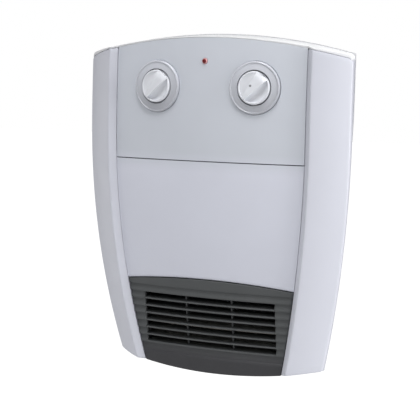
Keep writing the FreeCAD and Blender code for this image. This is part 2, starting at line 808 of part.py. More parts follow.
def cut_keyholes(body):
    """Two keyholes that hang the heater on wall screws."""
    heads, slots = [], []
    for side in (-1, 1):
        across = f"{side} * keyhole_spread"
        top = "keyhole_height + keyslot_length"
        heads.append(("circle", across, "keyhole_height", "keyhole_radius"))
        slots.append([
            (f"{across} + keyslot_radius", "keyhole_height"),
            (f"{across} + keyslot_radius", top, "keyslot_radius * 1.0001", 1),
            (f"{across} - keyslot_radius", top),
            (f"{across} - keyslot_radius", "keyhole_height"),
        ])
    pocket(body, "XZ", "depth - wall - 1", "depth + 1", heads, "keyhole_heads")
    pocket(body, "XZ", "depth - wall - 1", "depth + 1", slots, "keyhole_slots")


def cut_intake(body):
    """Row of intake slots through the sloping top wall."""
    first = "-intake_pitch * (intake_count - 1) / 2"
    slot = rectangle(f"{first} - intake_width / 2", "intake_front",
                     f"{first} + intake_width / 2", "intake_back")
    cut = pocket(body, "XY", "full_height - 40", "full_height + 10", [slot], "intake_slot")
    pattern = body.newObject("PartDesign::LinearPattern", "intake")
    pattern.Originals = [cut]
    pattern.Direction = (origin_feature(body, "X_Axis"), [""])
    pattern.setExpression("Length", bind("intake_pitch * (intake_count - 1)"))
    pattern.setExpression("Occurrences", bind("intake_count"))
    body.Tip = pattern
    document.recompute()


def cord_grommet():
    """Rubber bush that lines the mains cord's inlet."""
    body = new_body("cord_grommet")
    section = [
        ("cord_radius", "-grommet_flange"),
        ("inlet_radius + grommet_flange", "-grommet_flange"),
        ("inlet_radius + grommet_flange", "0"),
        ("inlet_radius", "0"),
        ("inlet_radius", "wall"),
        ("inlet_radius + grommet_bead", "wall"),
        ("inlet_radius + grommet_bead", "wall + grommet_flange"),
        ("cord_radius", "wall + grommet_flange"),
    ]
    turn("Revolution", body, "XZ", "0", [section], ("up", "0"), "bush")
    return put(body, "-inlet_offset", "inlet_depth", "rear_bottom")


# ---------------------------------------------------------------- chassis and controls

BRACKET_SCREW_HEIGHTS = ("bracket_screw_low", "bracket_screw_high")


def chassis_plate():
    """Flat carrier behind the front panels, open behind the controls."""
    body = new_body("chassis_plate")
    back = "chassis_front + wall"
    edge = "centre_half_width - chassis_play"
    outline = mirrored_sides([
        (f"{centre_edge('chassis_bottom')} - chassis_play", "chassis_bottom",
         "centre_taper_radius", 1),
        (edge, "taper_start"),
        (edge, "chassis_top"),
    ])
    openings = [rectangle("-air_opening", "air_opening_low", "air_opening", "air_opening_high")]
    for side in (-1, 1):
        middle = f"{side} * knob_spread"
        openings.append(rectangle(f"{middle} - dial_opening", "dial_opening_low",
                                  f"{middle} + dial_opening", "dial_opening_high"))
    foot_holes = [("circle", "0", height, "pilot_radius") for height in BRACKET_SCREW_HEIGHTS]
    pad(body, "XZ", "chassis_front", back, [outline] + openings + foot_holes, "plate")
    bosses, bores = [], []
    for side, height in pillar_places():
        bosses.append(("circle", f"{side} * pillar_spread", height, "boss_radius"))
        bores.append(("circle", f"{side} * pillar_spread", height, "pilot_radius"))
    pad(body, "XZ", "chassis_front + 1", "chassis_front - boss_length", bosses, "bosses")
    pocket(body, "XZ", f"{back} + 1", "chassis_front - boss_length + 1", bores, "boss_holes")
    return body


def control_bracket():
    """Bent sheet: a flat foot in the middle and a face square to each spindle."""
    body = new_body("control_bracket")
    run = "sqrt(bow_radius^2 - knob_spread^2)"
    face_middle = f"({bow('knob_spread')} + bracket_face * bow_radius / {run})"
    near = f"({face_middle} - (knob_spread - bracket_bend) * knob_spread / {run})"
    far = f"({face_middle} + (bracket_end - knob_spread) * knob_spread / {run})"
    right_side = [
        ("bracket_foot", "chassis_front"),
        ("bracket_bend", f"{near} + sheet_metal"),
        ("bracket_end", f"{far} + sheet_metal"),
        ("bracket_end", far),
        ("bracket_bend - sheet_metal / 2", near),
        ("bracket_foot - sheet_metal * 2 / 3", "chassis_front - sheet_metal"),
    ]
    left_side = [(f"-({across})", deep) for across, deep in reversed(right_side)]
    pad(body, "XY", "bracket_low", "bracket_high", [right_side + left_side], "bent_sheet")
    middle = "knob_spread * (1 - bracket_face / bow_radius)"
    for side, name in ((-1, "bush_hole_left"), (1, "bush_hole_right")):
        hole = ("circle", f"{side} * {middle}", "knob_height", "bush_thread_radius + 0.2")
        pocket(body, "XZ", "bracket_face / 2", "bracket_face * 2", [hole], name)
    feet = [("circle", "0", height, "pilot_radius") for height in BRACKET_SCREW_HEIGHTS]
    pocket(body, "XZ", "chassis_front - 5", "chassis_front + 2", feet, "foot_holes")
    return body


def place_control(body, side, turned=0):
    """Puts a piece drawn about its own axis on the bowed surface, -Y outwards."""
    rotation = Rotation(Vector(0, 0, 1), side * control_tilt())
    rotation = rotation.multiply(Rotation(Vector(0, 1, 0), turned))
    return put(body, f"{side} * knob_spread", bow("knob_spread"), "knob_height", rotation)


def dial_ring(side):
    """Raised ring round a knob: outer lip, recessed face, skirt and rear flange."""
    body = new_body("left_dial_ring" if side < 0 else "right_dial_ring")
    hole = "knob_radius + knob_play"
    section = [
        (hole, "-ring_front + ring_recess"),
        ("ring_radius - ring_lip", "-ring_front + ring_recess"),
        ("ring_radius - ring_lip", "-ring_front"),
        ("ring_radius", "-ring_front"),
        ("ring_radius", "ring_back - ring_flange"),
        ("ring_radius + ring_flange", "ring_back - ring_flange"),
        ("ring_radius + ring_flange", "ring_back"),
        ("ring_radius - ring_wall", "ring_back"),
        ("ring_radius - ring_wall", "-ring_front + ring_recess + ring_wall"),
        (hole, "-ring_front + ring_recess + ring_wall"),
    ]
    turn("Revolution", body, "XY", "0", [section], ("up", "0"), "ring")
    return place_control(body, side)


POINTER_TURN = 38


def knob(label, side):
    """Round knob: raised rim, dished face, tapered grip bar and a D-shaped bore."""
    body = new_body(label)
    section = [
        ("0", "-knob_front + knob_dish"),
        ("knob_radius * 0.55", "-knob_front + knob_dish"),
        ("knob_radius - knob_rim", "-knob_front + 0.4"),
        ("knob_radius - knob_rim", "-knob_front"),
        ("knob_radius", "-knob_front + 0.4"),
        ("knob_radius", "knob_back"),
        ("knob_radius - knob_wall", "knob_back"),
        ("knob_radius - knob_wall", "knob_dish"),
        ("0", "knob_dish"),
    ]
    turn("Revolution", body, "XY", "0", [section], ("up", "0"), "cup")
    reach = "knob_radius - knob_rim * 0.6"
    bar = [
        ("grip_narrow", f"-({reach}) + 1"),
        ("grip_wide", f"{reach} - 1.2", "knob_radius", 1),
        ("-grip_wide", f"{reach} - 1.2"),
        ("-grip_narrow", f"-({reach}) + 1", "grip_narrow * 1.6", 1),
    ]
    pad(body, "XZ", "knob_dish - 1", "-knob_front - 0.3", [bar], "grip")
    hub = ("circle", "0", "0", "spindle_radius + knob_wall")
    pad(body, "XZ", "knob_dish - 1", "knob_back", [hub], "hub")
    bore = d_shape("spindle_radius + bore_clearance")
    pocket(body, "XZ", "knob_back + 1", "spindle_front - 0.2", [bore], "bore")
    return place_control(body, side, POINTER_TURN)


def d_shape(radius):
    """Circle with a flat at three quarters of its radius."""
    flat = f"({radius}) * 0.6"
    half = f"({radius}) * 0.8"
    return [
        (f"-({half})", flat, radius, 1),
        ("0", f"-({radius})", radius, 1),
        (half, flat),
    ]


def spindle(label, side):
    body = new_body(label)
    rod = ("circle", "0", "0", "spindle_radius")
    pad(body, "XZ", "spindle_front", "spindle_end", [rod], "rod")
    flat = rectangle("-5", "spindle_radius * 0.6", "5", "spindle_radius + 1")
    pocket(body, "XZ", "0", "knob_back + 0.5", [flat], "flat")
    return place_control(body, side, POINTER_TURN)


CONTROL_SEAT = "bracket_face + sheet_metal"


def control_base(body, name):
    """Threaded bush that passes through the bracket, with its blind bore."""
    pad(body, "XZ", f"{CONTROL_SEAT} + 1", "knob_back + 1.5",
        [("circle", "0", "0", "bush_thread_radius")], f"{name}_bush")
    bore = ("circle", "0", "0", "spindle_radius + bore_clearance")
    pocket(body, "XZ", "knob_back + 1", "spindle_end + 0.2", [bore], f"{name}_bore")


def tag(across, low, high):
    """Section of a flat terminal."""
    return rectangle(f"{across} - tag_wall / 2", low, f"{across} + tag_wall / 2", high)


def selector_switch():
    """Rotary switch: square housing with a row of flat terminals."""
    body = new_body("selector_switch")
    back = f"{CONTROL_SEAT} + switch_depth"
    square = rectangle("-switch_half", "-switch_half", "switch_half", "switch_half")
    pad(body, "XZ", CONTROL_SEAT, back, [square], "housing")
    control_base(body, "selector")
    tags = [tag(f"{place} * tag_pitch", "-switch_half + 4", "-switch_half + 10")
            for place in (-1.5, -0.5, 0.5, 1.5)]
    pad(body, "XZ", f"{back} - 1", f"{back} - 1 + tag_length", tags, "terminals")
    return place_control(body, -1)


def thermostat_body():
    """Ceramic base on a metal bridge, with two flat terminals."""
    body = new_body("thermostat_body")
    across, up = "bridge_half_width", "bridge_half_height"
    bridge = rectangle(f"-{across}", f"-{up}", across, up)
    pad(body, "XZ", CONTROL_SEAT, f"{CONTROL_SEAT} + bridge_wall", [bridge], "bridge")
    legs = [rectangle(f"-{across}", f"-{up}", across, f"-{up} + bridge_wall"),
            rectangle(f"-{across}", f"{up} - bridge_wall", across, up)]
    pad(body, "XZ", f"{CONTROL_SEAT} + 1", f"{CONTROL_SEAT} + bridge_depth", legs, "legs")
    base = rectangle("-base_half_width", "-base_half_height", "base_half_width",
                     "base_half_height")
    front, back = f"{CONTROL_SEAT} + bridge_depth - 1", f"{CONTROL_SEAT} + switch_depth"
    pad(body, "XZ", front, back, [base], "base")
    sleeve = ("circle", "0", "0", "bush_thread_radius")
    pad(body, "XZ", f"{CONTROL_SEAT} + 1", f"{CONTROL_SEAT} + bridge_depth - 5", [sleeve],
        "sleeve")
    control_base(body, "thermostat")
    tags = [tag(f"{side} * (base_half_width - 4.4)", "-base_half_height + 3",
                "-base_half_height + 9") for side in (-1, 1)]
    pad(body, "XZ", f"{back} - 1", f"{back} - 1 + tag_length", tags, "terminals")
    return place_control(body, 1)


def thermostat_bimetal():
    """Bimetal blade on the bridge's side, with a round contact at its free end."""
    body = new_body("thermostat_bimetal")
    near = "bridge_half_width + blade_play"
    far = f"{near} + tag_wall"
    front = f"{CONTROL_SEAT} + bridge_wall + 1"
    blade = rectangle(near, "-blade_half_height", far, "blade_half_height")
    pad(body, "XZ", front, f"{front} + blade_width", [blade], "blade")
    contact = ("circle", f"{front} + blade_width / 2", "-contact_height", "2.4")
    pad(body, "YZ", far, f"{far} + 1.5", [contact], "contact")
    rivet = ("circle", f"{front} + blade_width / 2", "contact_height", "2")
    pad(body, "YZ", far, f"{far} + 0.9", [rivet], "rivet")
    return place_control(body, 1)


def spindle_nuts():
    """Hexagon nuts on the two threaded bushes, in front of the bracket."""
    nuts = []
    for side in (-1, 1):
        body = document.addObject("PartDesign::Body", "nut_left" if side < 0 else "nut_right")
        bore = ("circle", "0", "0", "bush_thread_radius + bore_clearance")
        pad(body, "XZ", "bracket_face - nut_height", "bracket_face",
            [hexagon("nut_radius"), bore], "hexagon")
        place_control(body, side)
        nuts.append(body)
    group_solids("spindle_nuts", nuts)


def indicator_lens():
    """Domed lens held behind the panel by its flange."""
    body = new_body("indicator_lens")
    section = [
        ("0", "-lens_front"),
        ("lamp_radius * 0.6", "-lens_front * 3 / 4"),
        ("lamp_radius", "-lens_front / 6"),
        ("lamp_radius", "wall + 0.6"),
        ("lamp_radius + lens_flange", "wall + 0.6"),
        ("lamp_radius + lens_flange", "wall + 1.6"),
        ("0", "wall + 1.6"),
    ]
    turn("Revolution", body, "XY", "0", [section], ("up", "0"), "lens")
    return put(body, "0", rake("lamp_height"), "lamp_height")


def indicator_lamp():
    """Neon lamp in its holder, fixed to the chassis plate."""
    body = new_body("indicator_lamp")
    start = "wall + 2.2"
    seat = f"chassis_front - {rake('lamp_height')}"
    section = [
        ("0", f"{start} + 1"),
        ("neon_radius / 2", start),
        ("neon_radius", f"{start} + 1.6"),
        ("neon_radius", "holder_front"),
        ("holder_radius", "holder_front"),
        ("holder_radius", seat),
        ("0", seat),
    ]
    turn("Revolution", body, "XY", "0", [section], ("up", "0"), "lamp")
    return put(body, "0", rake("lamp_height"), "lamp_height")


# ---------------------------------------------------------------- fan unit

ALONG_X = Rotation(Vector(0, 1, 0), 90)


def fan_impeller():
    """Cross-flow impeller: ring of curved blades between discs."""
    body = new_body("fan_impeller")
    half = "impeller_half_length"
    for name, start, end in (
        ("drive_disc", f"{half} - disc_wall", half),
        ("middle_disc", "-disc_wall / 2", "disc_wall / 2"),
        ("free_disc", f"-{half}", f"-{half} + disc_wall"),
    ):
        loops = [("circle", "0", "0", "impeller_radius")]
        if name == "drive_disc":
            loops.append(("circle", "0", "0", "coupling_bore"))
        if name == "middle_disc":
            loops.append(("circle", "0", "0", "impeller_radius - blade_chord - 1"))
        if name == "free_disc":
            loops.append(("circle", "0", "0", "shaft_radius + hub_neck"))
        pad(body, "XY", start, end, loops, name)
        if name == "drive_disc":
            add_blades(body)
    return put(body, "0", "fan_depth", "fan_height", ALONG_X)


def add_blades(body):
    """One blade between the end discs, repeated round the axis."""
    inner = "impeller_radius - blade_chord"
    tip = "impeller_radius - 0.2"
    blade = [
        (inner, "-blade_lead", "blade_chord", -1),
        (tip, "0"),
        (tip, "blade_wall", "blade_chord - blade_wall / 2", 1),
        (inner, "-blade_lead + blade_wall"),
    ]
    half = "impeller_half_length"
    first = pad(body, "XY", f"-{half} + 0.2", f"{half} - 0.2", [blade], "blade")
    pattern = body.newObject("PartDesign::PolarPattern", "blades")
    pattern.Originals = [first]
    pattern.Axis = (origin_feature(body, "Z_Axis"), [""])
    pattern.Angle = 360
    pattern.setExpression("Occurrences", bind("blade_count"))
    body.Tip = pattern
    document.recompute()


def shaft(label, start, end):
    """Plain round steel shaft on the fan's axis."""
    rod = document.addObject("Part::Cylinder", label)
    rod.Label = label
    rod.setExpression("Radius", bind("shaft_radius"))
    rod.setExpression("Height", bind(f"({end}) - ({start})"))
    sub_parts.append(rod)
    return put(rod, start, "fan_depth", "fan_height", ALONG_X)


def on_fan_axis(label, sections):
    """Turned piece on the fan's axis; sections give (radius, distance along X)."""
    body = new_body(label)
    turn("Revolution", body, "XZ", "0", [sections], ("up", "0"), "turned")
    return put(body, "0", "fan_depth", "fan_height", ALONG_X)


def shaft_coupling():
    """Rubber hub between the drive disc and the motor's shaft."""
    half = "impeller_half_length"
    return on_fan_axis("shaft_coupling", [
        ("shaft_radius", f"{half} - coupling_length"),
        ("coupling_radius", f"{half} - coupling_length"),
        ("coupling_radius", f"{half} - disc_wall"),
        ("coupling_bore", f"{half} - disc_wall"),
        ("coupling_bore", half),
        ("shaft_radius", half),
    ])


def free_end_hub():
    """Metal hub that carries the stub shaft in the free disc."""
    outside = "-impeller_half_length"
    inside = f"{outside} + disc_wall"
    return on_fan_axis("impeller_hub", [
        ("shaft_radius", outside),
        ("shaft_radius + hub_neck", outside),
        ("shaft_radius + hub_neck", inside),
        ("shaft_radius + hub_wall", inside),
        ("shaft_radius + hub_wall", f"{inside} + hub_length"),
        ("shaft_radius", f"{inside} + hub_length"),
    ])


def bearing_bush():
    """Sintered bush at the impeller's free end."""
    return on_fan_axis("bearing_bush", [
        ("shaft_radius + bore_clearance", "-end_plate - bush_length"),
        ("bush_radius", "-end_plate - bush_length"),
        ("bush_radius", "-end_plate + 1"),
        ("shaft_radius + bore_clearance", "-end_plate + 1"),
    ])


def bush_holder():
    """Rubber ring that holds the bush in the left end plate."""
    return on_fan_axis("bush_holder", [
        ("bush_radius", "-end_plate - bush_length + 1"),
        ("holder_flange", "-end_plate - bush_length + 1"),
        ("holder_flange", "-end_plate - end_plate_wall"),
        ("holder_neck", "-end_plate - end_plate_wall"),
        ("holder_neck", "-end_plate"),
        ("bush_radius", "-end_plate"),
    ])


def motor_rotor():
    """Squirrel-cage rotor with its end rings."""
    near = "motor_middle - stack_length / 2"
    far = "motor_middle + stack_length / 2"
    return on_fan_axis("motor_rotor", [
        ("shaft_radius", f"{near} - rotor_ring"),
        ("rotor_radius - 2", f"{near} - rotor_ring"),
        ("rotor_radius - 2", near),
        ("rotor_radius", near),
        ("rotor_radius", far),
        ("rotor_radius - 2", far),
        ("rotor_radius - 2", f"{far} + rotor_ring"),
        ("shaft_radius", f"{far} + rotor_ring"),
    ])


def end_plate_outline():
    """Side view of the fan unit: behind the heater, under and behind the impeller."""
    return [
        ("heater_front", "heater_bottom"),
        ("heater_back + 3", "heater_bottom", "scroll_radius", 1),
        ("scroll_depth + 0.5", "scroll_bend"),
        ("scroll_depth + 0.5", "scroll_top"),
        ("fan_depth - cheek_front", "scroll_top"),
        ("heater_front", "fan_height"),
    ]


def scroll_end(side):
    """Flat end plate of the fan unit with two feet bent outwards."""
    body = new_body("scroll_end_left" if side < 0 else "scroll_end_right")
    hole = "holder_neck" if side < 0 else "rotor_radius - 1.5"
    loops = [end_plate_outline(), ("circle", "fan_depth", "fan_height", hole)]
    if side > 0:
        loops += motor_screw_holes()
    pad(body, "YZ", f"{side} * end_plate", f"{side} * (end_plate + end_plate_wall)", loops,
        "plate")
    feet, bores = [], []
    for height in ("foot_low", "foot_high"):
        ends = [f"{side} * end_plate", f"{side} * (foot_spread + foot_half)"]
        left, right = ends if side > 0 else reversed(ends)
        feet.append(rectangle(left, f"{height} - foot_half", right, f"{height} + foot_half"))
        bores.append(("circle", f"{side} * foot_spread", height, "pilot_radius"))
    pad(body, "XZ", "foot_depth - end_plate_wall", "foot_depth", feet, "feet")
    pocket(body, "XZ", "foot_depth - 3", "foot_depth + 1", bores, "foot_holes")
    return body


def fan_scroll():
    """Curved sheet behind and below the impeller, which leads the air to the heater."""
    body = new_body("fan_scroll")
    wall = "end_plate_wall"
    section = [
        ("heater_back + 1", "heater_bottom + 2", "scroll_radius", 1),
        ("scroll_depth", "scroll_bend"),
        ("scroll_depth", "scroll_top"),
        (f"scroll_depth - {wall}", "scroll_top"),
        (f"scroll_depth - {wall}", "scroll_bend", f"scroll_radius - {wall}", -1),
        ("heater_back + 1", f"heater_bottom + 2 + {wall} * 1.2"),
    ]
    pad(body, "YZ", "-end_plate", "end_plate", [section], "sheet")
    return body


def vortex_tongue():
    """Front guide: closes the duct above the heater and curls close to the impeller."""
    body = new_body("vortex_tongue")
    low = "heater_top + 0.5"
    front = "heater_front + 2"
    section = [
        ("heater_back", low),
        ("heater_back", f"{low} + end_plate_wall"),
        (f"{front} + end_plate_wall", f"{low} + end_plate_wall"),
        (f"{front} + end_plate_wall", "tongue_bend"),
        ("nose_depth", "nose_height"),
        ("nose_depth - 1", "nose_height + 0.8"),
        (front, "tongue_bend + 0.6"),
        (front, low),
    ]
    pad(body, "YZ", "-end_plate", "end_plate", [section], "sheet")
    return body


def motor_stator():
    """Laminated frame: bore round the rotor, window and leg for the coil."""
    body = new_body("motor_stator")
    outline = rectangle("fan_depth - core_half", "fan_height - core_low",
                        "fan_depth + core_half", "fan_height + core_high")
    window = rectangle("fan_depth - window_half", "fan_height + window_low",
                       "fan_depth + window_half", "fan_height + window_high")
    bore = ("circle", "fan_depth", "fan_height", "rotor_radius + air_gap")
    pad(body, "YZ", "motor_middle - stack_length / 2", "motor_middle + stack_length / 2",
        [outline, window, bore] + motor_screw_holes(), "stack")
    return body


def motor_screw_depths():
    return ["fan_depth - motor_screw_spread", "fan_depth + motor_screw_spread"]


def motor_screw_holes():
    return [("circle", across, "fan_height - motor_screw_drop", "clearance_radius")
            for across in motor_screw_depths()]


def motor_coil():
    """Winding round the core's upper leg, with its bobbin's cheeks."""
    body = new_body("motor_coil")
    near, far = "fan_depth - window_half + coil_play", "fan_depth + window_half - coil_play"
    for name, start, end, rim in (
        ("winding", f"{near} + coil_cheek", f"{far} - coil_cheek", "0"),
        ("near_cheek", near, f"{near} + coil_cheek", "cheek_rim"),
        ("far_cheek", f"{far} - coil_cheek", far, "cheek_rim"),
    ):
        outline = rectangle(f"motor_middle - coil_half - {rim}",
                            f"fan_height + coil_low - 2 * {rim}",
                            f"motor_middle + coil_half + {rim}",
                            f"fan_height + coil_high + 2 * {rim}")
        pad(body, "XZ", start, end, [outline], name)
    leg = rectangle("motor_middle - stack_length / 2 - leg_play",
                    "fan_height + window_high - leg_play",
                    "motor_middle + stack_length / 2 + leg_play",
                    "fan_height + core_high + leg_play")
    pocket(body, "XZ", f"{near} - 1", f"{far} + 1", [leg], "leg_opening")
    return body


def motor_bracket(label, start, end):
    """Bearing bracket: arm across the rotor with a bushed hub, held by two screws."""
    body = new_body(label)
    arm = [
        ("fan_depth - core_half", "fan_height - core_low"),
        ("fan_depth + core_half", "fan_height - core_low"),
        ("fan_depth + core_half", "fan_height - arm_shoulder"),
        ("fan_depth + arm_shoulder", "fan_height + arm_top"),
        ("fan_depth - arm_shoulder", "fan_height + arm_top"),
        ("fan_depth - core_half", "fan_height - arm_shoulder"),
    ]
    bore = ("circle", "fan_depth", "fan_height", "shaft_radius + bore_clearance")
    pad(body, "YZ", start, end, [arm, bore] + motor_screw_holes(), "arm")
    return body


def motor_spacers():
    """Tubes that hold the brackets clear of the rotor on each side of the core."""
    tubes = []
    gap_ranges = [
        ("motor_middle - bracket_near", "motor_middle - stack_length / 2"),
        ("motor_middle + stack_length / 2", "motor_middle + bracket_near"),
    ]
    for index, (start, end) in enumerate(gap_ranges):
        for number, across in enumerate(motor_screw_depths()):
            body = document.addObject("PartDesign::Body", f"spacer_{index}_{number}")
            loops = [("circle", across, "fan_height - motor_screw_drop", radius)
                     for radius in ("spacer_radius", "clearance_radius")]
            pad(body, "YZ", start, end, loops, "tube")
            tubes.append(body)
    group_solids("motor_spacers", tubes)


# ---------------------------------------------------------------- heating element

def heater_frame():
    """Steel channel frame round the heating bars."""
    body = new_body("heater_frame")
    outer = rectangle("-heater_half_width", "heater_bottom", "heater_half_width", "heater_top")
    inner = rectangle("-heater_half_width + frame_wall", "heater_bottom + frame_wall",
                      "heater_half_width - frame_wall", "heater_top - frame_wall")
    pad(body, "XZ", "heater_front", "heater_back", [outer, inner], "frame")
    return body


FIN_ROW = "((heater_top - heater_bottom - 2 * frame_wall - 2 * bar_height) / 3)"


def row_height(index):
    """Bottom of a fin row; the bars lie between the rows."""
    return f"(heater_bottom + frame_wall + {index} * ({FIN_ROW} + bar_height))"


def heater_bars():
    """Two heating bars as separate solids."""
    bars = []
    for index in range(2):
        bar = document.addObject("Part::Box", f"heating_bar_{index}")
        bar.setExpression("Length", bind("2 * (heater_half_width - frame_wall)"))
        bar.setExpression("Width", bind("heater_back - heater_front - 2 * bar_inset"))
        bar.setExpression("Height", bind("bar_height"))
        bar.setExpression("Placement.Base.x", bind("-heater_half_width + frame_wall"))
        bar.setExpression("Placement.Base.y", bind("heater_front + bar_inset"))
        bar.setExpression("Placement.Base.z", bind(f"{row_height(index)} + {FIN_ROW}"))
        bars.append(bar)
    group_solids("heater_bars", bars)


def heater_fins():
    """Three rows of corrugated aluminium strip, cut from one zigzag section."""
    wall, depth = size("fin_wall"), size("heater_back - heater_front - 2 * fin_inset")
    start = size("-heater_half_width + fin_margin")
    pitch = size("fin_pitch / 2")
    count = int(-2 * start / pitch)
    near = size("heater_front + fin_inset")
    rows = []
    for index in range(3):
        low = size(f"{row_height(index)} + snug")
        high = size(f"{row_height(index)} + {FIN_ROW} - snug")
        front, back = [], []
        for step in range(count):
            across = start + step * pitch
            up = low if step % 2 == 0 else high - wall
            front.append(Vector(across, near, up))
            back.append(Vector(across, near, up + wall))
        outline = front + back[::-1] + front[:1]
        face = Part.Face(Part.makePolygon(outline))
        rows.append(face.extrude(Vector(0, depth, 0)))
    fins = document.addObject("Part::Feature", "heater_fins")
    fins.Label = "heater_fins"
    fins.Shape = Part.makeCompound(rows)
    sub_parts.append(fins)


def cutout_bracket():
    """Angle on the tongue's front face that carries the safety cut-out."""
    body = new_body("cutout_bracket")
    loop = rectangle("cutout_offset - cutout_plate_width", "cutout_height - cutout_plate_height",
                     "cutout_offset + cutout_plate_width", "cutout_height + cutout_plate_height")
    pad(body, "XZ", "heater_front + 2", "heater_front + 1", [loop], "plate")
    return body


def thermal_cutout():
    """Disc thermostat that breaks the circuit when the duct overheats."""
    body = new_body("thermal_cutout")
    seat = "heater_front + 1"
    for name, start, end, radius in (
        ("cap", seat, f"{seat} - cutout_cap", "cutout_radius"),
        ("case", f"{seat} - cutout_cap", f"{seat} - cutout_case", "cutout_radius - 1"),
    ):
        pad(body, "XZ", start, end, [("circle", "cutout_offset", "cutout_height", radius)], name)
    tags = [tag(f"cutout_offset + {side} * cutout_tag_spread",
                "cutout_height - cutout_tag_height", "cutout_height + cutout_tag_height")
            for side in (-1, 1)]
    pad(body, "XZ", f"{seat} - cutout_case + 1", f"{seat} - cutout_case - 4", tags, "terminals")
    return body


TERMINAL_PLACES = [f"-block_offset + {index} * block_pitch" for index in (-1, 0, 1)]


def terminal_block():
    """Three-way mains terminal block on the housing's back wall."""
    body = new_body("terminal_block")
    back = "depth - wall"
    front = f"{back} - block_depth"
    block = rectangle("-block_offset - block_half_width", "block_height - block_half_height",
                      "-block_offset + block_half_width", "block_height + block_half_height")
    pad(body, "XZ", back, front, [block], "block")
    wells = [("circle", across, "block_height", "well_radius") for across in TERMINAL_PLACES]
    pocket(body, "XZ", f"{front} - 1", f"{front} + well_depth", wells, "screw_wells")
    bores = [("circle", across, "block_height", "terminal_bore") for across in TERMINAL_PLACES]
    pocket(body, "XZ", f"{front} - 1", f"{front} + terminal_bore_depth", bores, "screw_bores")
    wires = [("circle", across, f"{back} - 7", "wire_radius") for across in TERMINAL_PLACES]
    pocket(body, "XY", "block_height - block_half_height - 2",
           "block_height + block_half_height + 2", wires, "wire_ways")
    return body


# ---------------------------------------------------------------- build

def build_front():
    control_panel()
    lower_panel()
    outlet_grille()
    side_panel(-1)
    side_panel(1)
    top_cover()


def build_controls():
    chassis_plate()
    control_bracket()
    for side, label in ((-1, "selector_knob"), (1, "thermostat_knob")):
        dial_ring(side)
        knob(label, side)
    spindle("selector_spindle", -1)
    spindle("thermostat_spindle", 1)
    selector_switch()
    thermostat_body()
    thermostat_bimetal()
    spindle_nuts()
    indicator_lens()
    indicator_lamp()


def build_fan_unit():
    fan_impeller()
    half = "impeller_half_length"
    shaft("motor_shaft", f"{half} - shaft_overlap", "motor_middle + shaft_end")
    shaft("stub_shaft", "-end_plate - bush_length", f"-{half} + disc_wall + hub_length - 1")
    shaft_coupling()
    free_end_hub()
    bearing_bush()
    bush_holder()
    scroll_end(-1)
    scroll_end(1)
    fan_scroll()
    vortex_tongue()
    motor_stator()
    motor_coil()
    motor_rotor()
    middle = "motor_middle"
    motor_bracket("motor_bracket_inner", f"{middle} - bracket_far", f"{middle} - bracket_near")
    motor_bracket("motor_bracket_outer", f"{middle} + bracket_near", f"{middle} + bracket_far")
    motor_spacers()


def build_heater():
    heater_frame()
    heater_bars()
    heater_fins()
    cutout_bracket()
    thermal_cutout()


def build_screws():
    rearward = Vector(0, 1, 0)
    frontward = Vector(0, -1, 0)
    floor = "chassis_front + wall + counterbore_floor"
    pillars = [(f"{side} * pillar_spread", floor, height) for side, height in pillar_places()]
    screws("housing_screws", pillars, rearward)
    feet = [(f"{side} * foot_spread", "foot_depth - end_plate_wall", height)
            for side, height in fan_screw_places()]
    screws("fan_unit_screws", feet, frontward)
    bracket = [("0", "chassis_front - sheet_metal", height) for height in BRACKET_SCREW_HEIGHTS]
    screws("bracket_screws", bracket, frontward)
    motor = [("motor_middle + bracket_far", depth, "fan_height - motor_screw_drop")
             for depth in motor_screw_depths()]
    screws("motor_screws", motor, Vector(1, 0, 0))
    terminals = [(across, "depth - wall - block_depth + 4", "block_height")
                 for across in TERMINAL_PLACES]
    screws("terminal_screws", terminals, frontward)


def hang_on_wall():
    """Moves every sub-part so that the origin lies midway between the keyholes."""
    for part in sub_parts:
        across, deep, up = places.get(part.Name, ("0", "0", "0"))
        part.setExpression("Placement.Base.x", bind(across))
        part.setExpression("Placement.Base.y", bind(f"({deep}) - depth"))
        part.setExpression("Placement.Base.z", bind(f"({up}) - keyhole_height"))


def check_document():
    document.recompute()
    for item in document.Objects:
        if "Invalid" in item.State or "Error" in item.State:
            raise ValueError(f"{item.Label} failed: {item.State}")
    for part in sub_parts:
        if part.Shape.isNull() or not part.Shape.isValid():
            raise ValueError(f"{part.Label} has no valid shape")


def write_parts():
    os.makedirs("parts", exist_ok=True)
    for part in sub_parts:
        part.Shape.exportStep(f"parts/{part.Label}.step")


build_front()
rear_housing()
cord_grommet()
build_controls()
build_fan_unit()
build_heater()
terminal_block()
build_screws()
hang_on_wall()
check_document()
write_parts()
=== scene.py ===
import json
import math
import bmesh
import bpy
from mathutils import Matrix, Vector


